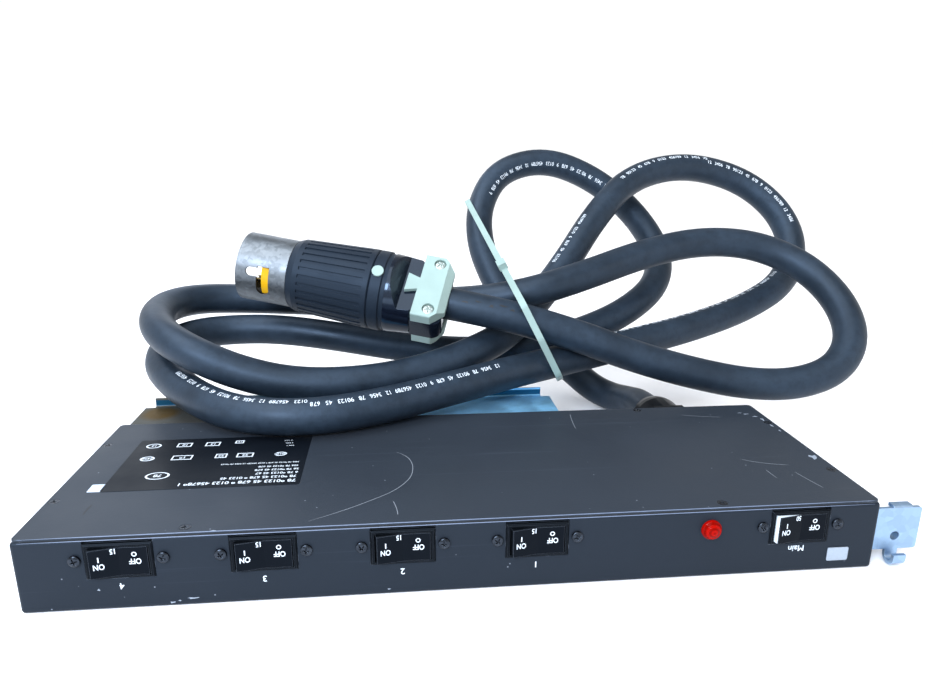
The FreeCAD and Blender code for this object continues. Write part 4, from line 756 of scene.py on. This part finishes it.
def put_chip(bm, place, width, height, seed, corners=9):
    """Adds a small flat chip whose outline is uneven in its own way for each seed."""
    outline = []
    for i in range(corners):
        turn = 2 * math.pi * i / corners
        reach = CHIP_REACH + CHIP_STRAY * math.sin(CHIP_STEP * seed + CORNER_STEP * i)
        outline.append(place @ Vector((width * reach * math.cos(turn), height * reach * math.sin(turn), 0)))
    bm.faces.new([bm.verts.new(corner) for corner in outline])


def put_ribbon(bm, points, width, up):
    """Adds a thin strip along some points, narrowing to its ends."""
    last = len(points) - 1
    pairs = []
    for i, point in enumerate(points):
        ahead = (points[min(i + 1, last)] - points[max(i - 1, 0)]).normalized()
        share = min(1.0, TIP_SHARE + TIP_TAPER * math.sin(math.pi * i / last))
        side = up.cross(ahead).normalized() * width / 2 * share
        pairs.append((bm.verts.new(point - side), bm.verts.new(point + side)))
    for (a, b), (c, d) in zip(pairs, pairs[1:]):
        bm.faces.new((a, c, d, b))


def smooth_curve(name, route):
    """One open smooth spline with the route's points as its control points."""
    curve = bpy.data.curves.new(name, "CURVE")
    curve.dimensions = "3D"
    spline = curve.splines.new("NURBS")
    spline.points.add(len(route) - 1)
    for point, place in zip(spline.points, route):
        point.co = (*place, 1.0)
    spline.order_u = 3
    spline.use_endpoint_u = True
    spline.resolution_u = LINE_STEPS
    return curve


def smooth_points(route):
    """Points along the smooth line of a route."""
    mesh = mesh_of(smooth_curve("line", route))
    points = [vertex.co.copy() for vertex in mesh.vertices]
    bpy.data.meshes.remove(mesh)
    return points


def place_along(points, lengths, distance):
    """The point at a distance along the cord's line, and the direction there."""
    i = min(max(bisect.bisect(lengths, distance), 1), len(points) - 1)
    share = (distance - lengths[i - 1]) / (lengths[i] - lengths[i - 1])
    return points[i - 1].lerp(points[i], share), (points[i] - points[i - 1]).normalized()


class POWERUNIT_OT_stage(Operator):
    """Camera, soft studio light and pale floor"""
    bl_idname = "power_unit.stage"
    bl_label = "Set the stage"

    def execute(self, context):
        scene = context.scene
        stage = scene.power_unit_stage
        scene.view_settings.view_transform = "Standard"
        self.set_camera(scene, stage)
        self.set_walls(scene, stage)
        self.set_lights(scene, stage)
        self.lay_floor(scene, stage)
        return {"FINISHED"}

    def set_camera(self, scene, stage):
        """Camera at the photograph's view."""
        camera = bpy.data.objects.new("camera", bpy.data.cameras.new("camera"))
        camera.data.sensor_width = SENSOR_WIDTH
        camera.data.lens = stage.lens
        camera.data.clip_start = NEAREST_SEEN
        turn = Matrix.Rotation(math.radians(CAMERA_TURN), 4, "Z")
        down = Matrix.Rotation(math.radians(90 - CAMERA_DOWN), 4, "X")
        roll = Matrix.Rotation(math.radians(CAMERA_ROLL), 4, "Z")
        camera.matrix_world = Matrix.Translation(CAMERA_PLACE) @ turn @ down @ roll
        scene.collection.objects.link(camera)
        scene.camera = camera

    def set_walls(self, scene, stage):
        """Bright walls and a dimmer ceiling, far away."""
        world = bpy.data.worlds.new("studio")
        world.use_nodes = True
        tree = world.node_tree
        way = add(tree, "ShaderNodeTexCoord").outputs["Generated"]
        height = add(tree, "ShaderNodeSeparateXYZ", {"Vector": way}).outputs["Z"]
        glow = add(tree, "ShaderNodeMapRange", {"Value": height, "From Min": WALL_TOP,
                                                "From Max": CEILING_FOOT, "To Min": stage.sky,
                                                "To Max": stage.ceiling})
        wire(tree, tree.nodes["Background"], {"Color": linear(WALL_TINT), "Strength": glow.outputs[0]})
        scene.world = world

    def set_lights(self, scene, stage):
        """An even light over the floor and soft lights aimed at the unit."""
        even = bpy.data.objects.new("even", bpy.data.lights.new("even", "SUN"))
        even.data.energy = stage.sun
        even.data.angle = math.radians(EVEN_SPREAD)
        even.rotation_euler = Vector(EVEN_WAY).to_track_quat("-Z", "Y").to_euler()
        scene.collection.objects.link(even)
        for name, place, width, height, tint in LIGHTS:
            light = bpy.data.lights.new(name, "AREA")
            light.shape = "RECTANGLE"
            light.size = width
            light.size_y = height
            light.energy = getattr(stage, name)
            light.color = linear(tint)[:3]
            lamp = bpy.data.objects.new(name, light)
            lamp.location = place
            lamp.rotation_euler = (-Vector(place)).to_track_quat("-Z", "Y").to_euler()
            scene.collection.objects.link(lamp)

    def lay_floor(self, scene, stage):
        """Heavy white paper: no gloss, with a trace of cloud in its tone."""
        bm = bmesh.new()
        bmesh.ops.create_grid(bm, x_segments=FLOOR_SQUARES, y_segments=FLOOR_SQUARES, size=FLOOR_REACH)
        mesh = bpy.data.meshes.new("floor")
        bm.to_mesh(mesh)
        bm.free()
        paper = thin_coat("Matte paper", stage.floor, 400 * MM, thin=0.98, full=1.0, roughness=0.9, shine=0.1)
        mesh.materials.append(paper)
        floor = bpy.data.objects.new("floor", mesh)
        floor.location.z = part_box("chassis")[0].z - FLOOR_DROP
        scene.collection.objects.link(floor)


class POWERUNIT_OT_screws(Operator):
    """Cross-recess screws of the breakers, cover, tray, bracket and plug clamp"""
    bl_idname = "power_unit.screws"
    bl_label = "Drive the screws"

    def execute(self, context):
        black = plated("Black-oxide steel", linear("#474e58"), 0.24, 1.2 * MM, 0.6)
        zinc = plated("Zinc-plated steel, screws", linear("#a9bccd"), 0.3, 1.5 * MM, 0.3)
        steel = plated("Steel clamp screw", linear("#c4d0cc"), 0.45, 1.5 * MM, 0.3)
        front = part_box("chassis")[0].y
        for node, axis, x_axis, y_axis, material, slot in (
            ("breaker_screws", 1, RIGHT, UP, black, "black_steel"),
            ("tray_screws", 1, LEFT, UP, zinc, "zinc_steel"),
            ("bracket_screws", 0, BACK, UP, zinc, "zinc_steel"),
        ):
            bm = bmesh.new()
            for index, (low, high) in enumerate(solids_of(node)):
                seat = (low + high) / 2
                seat[axis] = front if node == "breaker_screws" else high[axis] - PAN_HEIGHT
                put_screw(bm, PAN_RADIUS, PAN_HEIGHT, placement(x_axis, y_axis, seat),
                          PAN_TURN + PAN_TURN_STEP * index)
            self.replace(node, bm, material, slot)

        bm = bmesh.new()
        for index, (low, high) in enumerate(solids_of("cover_screws")):
            seat = (low + high) / 2
            seat.z = high.z - COVER_SCREW_HEIGHT
            put_screw(bm, (high.x - low.x) / 2, COVER_SCREW_HEIGHT, placement(RIGHT, BACK, seat),
                      COVER_TURN + COVER_TURN_STEP * index, COVER_SCREW_FALL)
        self.replace("cover_screws", bm, black, "black_steel")

        bm = bmesh.new()
        for index, side in enumerate((-1, 1)):
            seat = Vector((CLAMP_SEAT, side * CLAMP_SCREW_OFFSET, CLAMP_LENGTH / 2))
            put_screw(bm, CLAMP_SCREW_RADIUS, CLAMP_SCREW_HEIGHT, plug_place() @ placement(BACK, UP, seat),
                      CLAMP_TURN + CLAMP_TURN_STEP * index)
        self.replace(CLAMP_SCREWS, bm, steel, "clamp_steel")
        return {"FINISHED"}

    def replace(self, node, bm, material, slot):
        """Puts the heads in the place of a group of plain screws."""
        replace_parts(piece(node + "_heads", bm, material, UNIT, smooth=True), node)


class POWERUNIT_OT_cord(Operator):
    """Input cord from the gland to the plug, with its printed line and scuffs"""
    bl_idname = "power_unit.cord"
    bl_label = "Lay the input cord"

    def execute(self, context):
        colours = context.scene.power_unit_colours
        sizes = context.scene.power_unit_sizes
        route = [Vector(point) * MM for point in CORD_ROUTE]
        points = smooth_points(route)
        lengths = [0.0]
        for a, b in zip(points, points[1:]):
            lengths.append(lengths[-1] + (b - a).length)
        curve = smooth_curve("input_cord_jacket", route)
        curve.bevel_depth = sizes.cord / 2
        curve.bevel_resolution = CORD_ROUNDNESS
        curve.use_fill_caps = True
        curve.materials.append(cord_rubber("Rubber jacket", colours.rubber))
        cord = bpy.data.objects.new("input_cord_jacket", curve)
        context.scene.collection.objects.link(cord)
        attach(cord, UNIT)
        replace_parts(cord, "input_cord")
        radius = sizes.cord / 2 + CORD_INK
        self.print_cord(points, lengths, radius, sizes.print, colours.ink)
        self.scuff_cord(points, lengths, radius)
        return {"FINISHED"}

    def print_cord(self, points, lengths, radius, height, colour):
        """Plain numbers along the cord, reading back towards its start."""
        bm = bmesh.new()
        index = 0
        for start, end, side in PRINT_RUNS:
            here = end * MM
            while here > start * MM:
                mesh = words_mesh(PRINT_WORDS[index % len(PRINT_WORDS)], height, THIN, CORD_NARROW)
                width = self.wrap(mesh, points, lengths, here, Vector(side), radius)
                bm.from_mesh(mesh)
                bpy.data.meshes.remove(mesh)
                here -= width + PRINT_GAP
                index += 1
        piece("cord_print", bm, thin_coat("Ribbon-printed ink", colour, 1.5 * MM), UNIT)

    def wrap(self, mesh, points, lengths, here, side, radius):
        """Lays flat words round the cord and gives their width."""
        xs = [vertex.co.x for vertex in mesh.vertices]
        left = min(xs)
        for vertex in mesh.vertices:
            middle, ahead = place_along(points, lengths, here - (vertex.co.x - left))
            out = square_to(side, ahead)
            up = out.cross(-ahead)
            turn = vertex.co.y / radius
            vertex.co = middle + (out * math.cos(turn) + up * math.sin(turn)) * radius
        return max(xs) - left

    def scuff_cord(self, points, lengths, radius):
        """Dark scuffs beside the plug's clamp."""
        bm = bmesh.new()
        for index, (here, turn, width, height) in enumerate(CORD_SCUFFS):
            middle, ahead = place_along(points, lengths, here * MM)
            out = square_to(Vector(SCUFF_SIDE), ahead)
            out.rotate(Matrix.Rotation(math.radians(turn), 3, ahead))
            place = placement(ahead, out.cross(ahead), middle + out * radius)
            put_chip(bm, place, width * MM, height * MM, index)
        piece("cord_scuffs", bm, thin_coat("Rubbed rubber", linear("#0d1116"), 0.9 * MM), UNIT)


class POWERUNIT_OT_case(Operator):
    """Folded case and service cover"""
    bl_idname = "power_unit.case"
    bl_label = "Coat the case and cover"

    def execute(self, context):
        colours = context.scene.power_unit_colours
        dress(powder_coat("Powder-coated steel, panel", colours.panel, 0.9 * MM, 0.5), "chassis")
        dress(powder_coat("Powder-coated steel, cover", colours.cover, 0.9 * MM, 0.42), "cover_plate")
        return {"FINISHED"}


class POWERUNIT_OT_breakers(Operator):
    """Breakers, their rockers and the words on them"""
    bl_idname = "power_unit.breakers"
    bl_label = "Finish the breakers"

    def execute(self, context):
        colours = context.scene.power_unit_colours
        case = moulded("Glass-filled nylon, breaker", colours.moulding, 0.42, 0.5 * MM, 0.05 * MM, shine=0.1,
                       edge_wear_and_highlight=0.25)
        face = moulded("ABS, rocker face", colours.rocker, 0.34, 0.6 * MM, 0.03 * MM, 0.5 * MM, shine=0.07,
                       edge_wear_and_highlight=0.3)
        flank = moulded("Polycarbonate, rocker flank", colours.carrier, 0.35, 0.6 * MM, 0.02 * MM)
        ink = thin_coat("Pad-printed ink", colours.ink, 1.2 * MM)
        for name in BREAKERS:
            dress(case, name + "_breaker_case")
            dress(face, name + "_rocker_cap")
            dress(flank if name == "main" else case, name + "_rocker_carrier")
            self.print_rocker(name, ink, context.scene.power_unit_sizes)
        return {"FINISHED"}

    def print_rocker(self, name, ink, sizes):
        """Words on both halves of one rocker, which read from the unit's other way up."""
        body = name + "_rocker"
        rest = Matrix.Rotation(ROCKER_TILT, 3, "Z")
        valley = Vector(JOINTS[body]["pos_m"]) + rest @ Vector((0, -ROCKER_VALLEY, 0))
        up = Vector(UP)
        pressed = Vector(RIGHT)
        raised = Vector((math.cos(2 * ROCKER_TILT), math.sin(2 * ROCKER_TILT), 0))
        bm = bmesh.new()
        for words, on_pressed, offset, level in ROCKER_MARKS:
            along = pressed if on_pressed else raised
            origin = valley + along * offset * MM + up * level * MM + along.cross(up) * sizes.ink
            place = placement(-along, -up, origin)
            if words == "O":
                put_ring(bm, RING_SHARES[0] * sizes.word, RING_SHARES[1] * sizes.word, place)
            elif words == "I":
                put_bar(bm, BAR_SHARES[0] * sizes.word, BAR_SHARES[1] * sizes.word, place)
            elif words == "rating":
                rating = MAIN_RATING if name == "main" else BRANCH_RATING
                put_words(bm, rating, RATING_SHARE * sizes.word, place, BOLD, ROCKER_NARROW)
            else:
                put_words(bm, words, sizes.word, place, BOLD, ROCKER_NARROW)
        piece(name + "_rocker_print", bm, ink, body)


class POWERUNIT_OT_panel_print(Operator):
    """Numbers, the word Main and the blank badge on the front panel"""
    bl_idname = "power_unit.panel_print"
    bl_label = "Print the front panel"

    def execute(self, context):
        colours = context.scene.power_unit_colours
        sizes = context.scene.power_unit_sizes
        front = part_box("chassis")[0].y
        bm = bmesh.new()
        for name in BREAKERS:
            low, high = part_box(name + "_breaker_case")
            words, level = ("Main", MAIN_LEVEL) if name == "main" else (name[-1], NUMBER_LEVEL)
            origin = Vector(((low.x + high.x) / 2 + WORD_SHIFT * MM, front - sizes.ink, level * MM))
            put_words(bm, words, sizes.numeral, placement(LEFT, DOWN, origin))
        piece("panel_print", bm, thin_coat("Screen-printed ink", colours.ink, 1.5 * MM), UNIT)

        x, z = BADGE_PLACE
        place = placement(RIGHT, UP, Vector((x * MM, front, z * MM)))
        bm = bmesh.new()
        put_plate(bm, *[size * MM for size in BADGE_SIZE], place)
        foil = plated("Brushed aluminium foil", linear("#b3c0cf"), 0.4, 0.6 * MM, 0.15)
        piece("panel_badge", bm, foil, UNIT)
        return {"FINISHED"}


class POWERUNIT_OT_labels(Operator):
    """Label and small sticker on the cover, with plain numbers for their print"""
    bl_idname = "power_unit.labels"
    bl_label = "Stick the labels"

    def execute(self, context):
        sizes = context.scene.power_unit_sizes
        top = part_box("cover_plate")[1].z
        film = moulded("Polyester label film", linear("#0b0f15"), 0.42, 1.0 * MM, 0.01 * MM, shine=0.12)
        paper = thin_coat("Coated paper sticker", linear("#c9d9ea"), 2 * MM)
        for name, ((x, y), width, height, corner), material, slot in (
            ("cover_label", LABEL, film, "cover_paint"), ("cover_sticker", STICKER, paper, "rocker_white"),
        ):
            bm = bmesh.new()
            put_plate(bm, width * MM, height * MM, sizes.film, corner * MM, self.spot(RIGHT, BACK, x, y, top))
            piece(name, bm, material, UNIT)
        self.print_label(top + sizes.film + sizes.ink, context.scene.power_unit_colours.ink)
        return {"FINISHED"}

    def spot(self, x_axis, y_axis, x, y, level):
        """Placement at a spot on the cover."""
        return placement(x_axis, y_axis, Vector((x * MM, y * MM, level)))

    def print_label(self, level, colour):
        """Plain rings, frames and numbers, which read from the unit's other way up."""
        bm = bmesh.new()
        for index, (x, y, outer, wide) in enumerate(LABEL_RINGS):
            place = self.spot(LEFT, FRONT, x, y, level)
            put_ring(bm, outer * MM, (outer - LABEL_STROKE) * MM, place @ Matrix.Diagonal((wide, 1, 1, 1)))
            put_words(bm, PRINT_WORDS[index], RING_NUMBER_SHARE * outer * MM, place, BOLD)
        for index, (x, y, width, height) in enumerate(LABEL_FRAMES):
            for side in (-1, 1):
                put_bar(bm, (width + LABEL_STROKE) * MM, LABEL_STROKE * MM,
                        self.spot(RIGHT, BACK, x, y + side * height / 2, level))
                put_bar(bm, LABEL_STROKE * MM, (height - LABEL_STROKE) * MM,
                        self.spot(RIGHT, BACK, x + side * width / 2, y, level))
            put_words(bm, str(FRAME_NUMBER + FRAME_NUMBER_STEP * index), FRAME_NUMBER_SHARE * height * MM,
                      self.spot(LEFT, FRONT, x, y, level), BOLD)
        digits = " ".join(PRINT_WORDS)
        for index, (right, y, left, height) in enumerate(LABEL_LINES):
            count = int((right - left) / (DIGIT_SHARE * height))
            words = (digits[index:] + " " + digits)[:count].strip()
            put_words(bm, words, height * MM, self.spot(LEFT, FRONT, (right + left) / 2, y, level), BOLD)
        piece("label_print", bm, thin_coat("Label ink", colour, 1.2 * MM), UNIT)


class POWERUNIT_OT_wear(Operator):
    """Scratches on the cover, painted shade and painted highlights along its front lip, and chips along its
    edges and the panel's lower edge
    """
    bl_idname = "power_unit.wear"
    bl_label = "Add the wear"

    def execute(self, context):
        ink = context.scene.power_unit_sizes.ink
        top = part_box("cover_plate")[1].z + ink
        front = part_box("chassis")[0].y - ink
        self.scratch("cover_scratches", "Scratched powder coat", "#767d86", SCRATCHES, SCRATCH_WIDTH, top)
        # Painted shade in the gap under the cover and painted highlights along its front lip
        self.paint_lip_shade_and_highlights()
        self.scratch("cover_scrape", "Rubbed powder coat", "#14171c", (SCRAPE,), SCRAPE_WIDTH, top)
        bm = bmesh.new()
        for index, (x, y, width, height) in enumerate(COVER_CHIPS):
            place = placement(RIGHT, BACK, Vector((x * MM, y * MM, top)))
            put_chip(bm, place, width * MM, height * MM, index)
        for index, (x, z, width, height) in enumerate(PANEL_CHIPS):
            place = placement(RIGHT, UP, Vector((x * MM, front, z * MM)))
            put_chip(bm, place, width * MM, height * MM, index)
        piece("edge_chips", bm, thin_coat("Bare steel chip", linear("#8d98a6"), 0.8 * MM), UNIT)
        return {"FINISHED"}

    def scratch(self, name, finish_name, tint, lines, width, level):
        """Thin marks along smooth lines on the cover, each narrower than the one before."""
        bm = bmesh.new()
        for index, line in enumerate(lines):
            points = smooth_points([Vector((x * MM, y * MM, level)) for x, y in line])
            put_ribbon(bm, points, (width - SCRATCH_THINNING * index) * MM, Vector(UP))
        piece(name, bm, thin_coat(finish_name, linear(tint), 0.9 * MM), UNIT)

    def paint_lip_shade_and_highlights(self):
        """Painted shade in the gap under the cover, and painted highlights on the edge of its front lip and
        on the panel's bend.
        """
        low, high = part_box("cover_plate")
        for name, finish_name, tint, speckle, out, rows in LIP_LINES:
            bm = bmesh.new()
            for y, z, width in rows:
                start, end = [Vector((x, low.y + y * MM, high.z + z * MM))
                              for x in (low.x + LIP_END, high.x - LIP_END)]
                line = [start.lerp(end, i / LIP_STEPS) for i in range(LIP_STEPS + 1)]
                put_ribbon(bm, line, width * MM, Vector(out))
            piece(name, bm, thin_coat(finish_name, linear(tint), speckle * MM), UNIT)


class POWERUNIT_OT_lamp(Operator):
    """Ringed red lens of the pilot lamp"""
    bl_idname = "power_unit.lamp"
    bl_label = "Fit the pilot lamp"

    def execute(self, context):
        low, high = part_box("pilot_lens")
        radius = (high.x - low.x) / 2
        height = high.y - low.y
        seat = Vector(((low.x + high.x) / 2, high.y, (low.z + high.z) / 2))
        bm = bmesh.new()
        put_lathe(bm, [(radius * r, height * h) for r, h in LENS_PROFILE], placement(RIGHT, UP, seat))
        acrylic = lens_acrylic("Red acrylic", context.scene.power_unit_colours.lens)
        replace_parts(piece("pilot_lens_rings", bm, acrylic, UNIT, smooth=True), "pilot_lens")
        return {"FINISHED"}


class POWERUNIT_OT_rear(Operator):
    """Outlets, tray, bracket and gland"""
    bl_idname = "power_unit.rear"
    bl_label = "Finish the rear and the bracket"

    def execute(self, context):
        moulding = context.scene.power_unit_colours.moulding
        zinc = plated("Zinc-plated steel", linear("#a6c3e0"), 0.46, 4 * MM, 0.25)
        dress(zinc, "mounting_bracket", "earth_stud", "pilot_nut")
        dress(plated("Chromated zinc, tray", linear("#9edcff"), 0.6, 5 * MM, 0.15, chromate), "cord_tray")
        dress(moulded("Nylon, outlets and gland", moulding, 0.4, 0.6 * MM, 0.04 * MM), "outlet_1", "outlet_2",
              "outlet_3", "outlet_4", "gland_body", "gland_nut", "gland_locknut", "pilot_barrel")
        return {"FINISHED"}


class POWERUNIT_OT_inside(Operator):
    """Bars, contacts, terminal strip and leads inside the case"""
    bl_idname = "power_unit.inside"
    bl_label = "Finish the inside"

    def execute(self, context):
        copper = plated("Copper bar", linear("#c77b4f"), 0.3, 2 * MM, 0.25)
        dress(copper, "breaker_bar", "neutral_bar", "earth_bar", "outlet_contacts")
        dress(moulded("Phenolic strip", linear("#4a3a30"), 0.5, 0.8 * MM, 0.05 * MM), "terminal_strip")
        for code, word, nodes in (("#191a1d", "black", ("line_leads", "lamp_leads")),
                                  ("#e3e3de", "white", ("neutral_leads",)),
                                  ("#1f7a3c", "green", ("earth_leads",))):
            dress(moulded("PVC insulation, " + word, linear(code), 0.4, 0.7 * MM, 0.03 * MM), *nodes)
        return {"FINISHED"}


class POWERUNIT_OT_plug(Operator):
    """Locking plug with its shell, grip, ring, housing and clamp, and the cable tie"""
    bl_idname = "power_unit.plug"
    bl_label = "Finish the plug and the tie"

    def execute(self, context):
        colours = context.scene.power_unit_colours
        # The shell's inside faces take a painted shade
        nickel = plated("Nickel-plated steel, shell", linear("#82898f"), 0.44, 2.5 * MM, 0.45, painted_inner_shade)
        dress(nickel, "plug_shell")
        dress(plated("Brass blade", linear("#e6d3a0"), 0.25, 2 * MM, 0.2), "plug_blades")
        dress(moulded("Yellow nylon core", linear("#d9a616"), 0.35, 0.6 * MM, 0.04 * MM), "plug_core")
        grip = moulded("Ribbed nylon grip", colours.grip, 0.5, 0.8 * MM, 0.06 * MM)
        dress(grip, "plug_body", "plug_ring")
        housing = moulded("Glossy nylon housing", linear("#0c111c"), 0.16, 1.2 * MM, 0.02 * MM, shine=0.5)
        dress(housing, "plug_housing")
        nylon = moulded("Natural nylon", colours.nylon, 0.4, 0.9 * MM, 0.04 * MM)
        dress(nylon, "plug_clamp_front", "plug_clamp_rear", "plug_button", "cable_tie")
        return {"FINISHED"}


# The screws come before the cord, because the clamp's screws are pieces on it
OPERATORS = (POWERUNIT_OT_stage, POWERUNIT_OT_screws, POWERUNIT_OT_cord, POWERUNIT_OT_case,
             POWERUNIT_OT_breakers, POWERUNIT_OT_panel_print, POWERUNIT_OT_labels, POWERUNIT_OT_wear,
             POWERUNIT_OT_lamp, POWERUNIT_OT_rear, POWERUNIT_OT_inside, POWERUNIT_OT_plug)
GROUPS = {"power_unit_colours": PowerUnitColours, "power_unit_sizes": PowerUnitSizes,
          "power_unit_stage": PowerUnitStage}


class POWERUNIT_PT_panel(Panel):
    """The unit's settings and the steps that dress it"""
    bl_idname = "POWERUNIT_PT_panel"
    bl_label = "Power distribution unit"
    bl_space_type = "VIEW_3D"
    bl_region_type = "UI"
    bl_category = "Power unit"

    def draw(self, context):
        for group in GROUPS:
            values = getattr(context.scene, group)
            box = self.layout.box()
            for name in values.__annotations__:
                box.prop(values, name)
        for operator in OPERATORS:
            self.layout.operator(operator.bl_idname)


def register():
    for kind in (*GROUPS.values(), *OPERATORS, POWERUNIT_PT_panel):
        bpy.utils.register_class(kind)
    for name, group in GROUPS.items():
        setattr(bpy.types.Scene, name, PointerProperty(type=group))


def unregister():
    for name in GROUPS:
        delattr(bpy.types.Scene, name)
    for kind in reversed((*GROUPS.values(), *OPERATORS, POWERUNIT_PT_panel)):
        bpy.utils.unregister_class(kind)


def main():
    register()
    for operator in OPERATORS:
        step = operator.bl_idname.split(".")[1]
        getattr(bpy.ops.power_unit, step)()


if __name__ == "__main__":
    main()
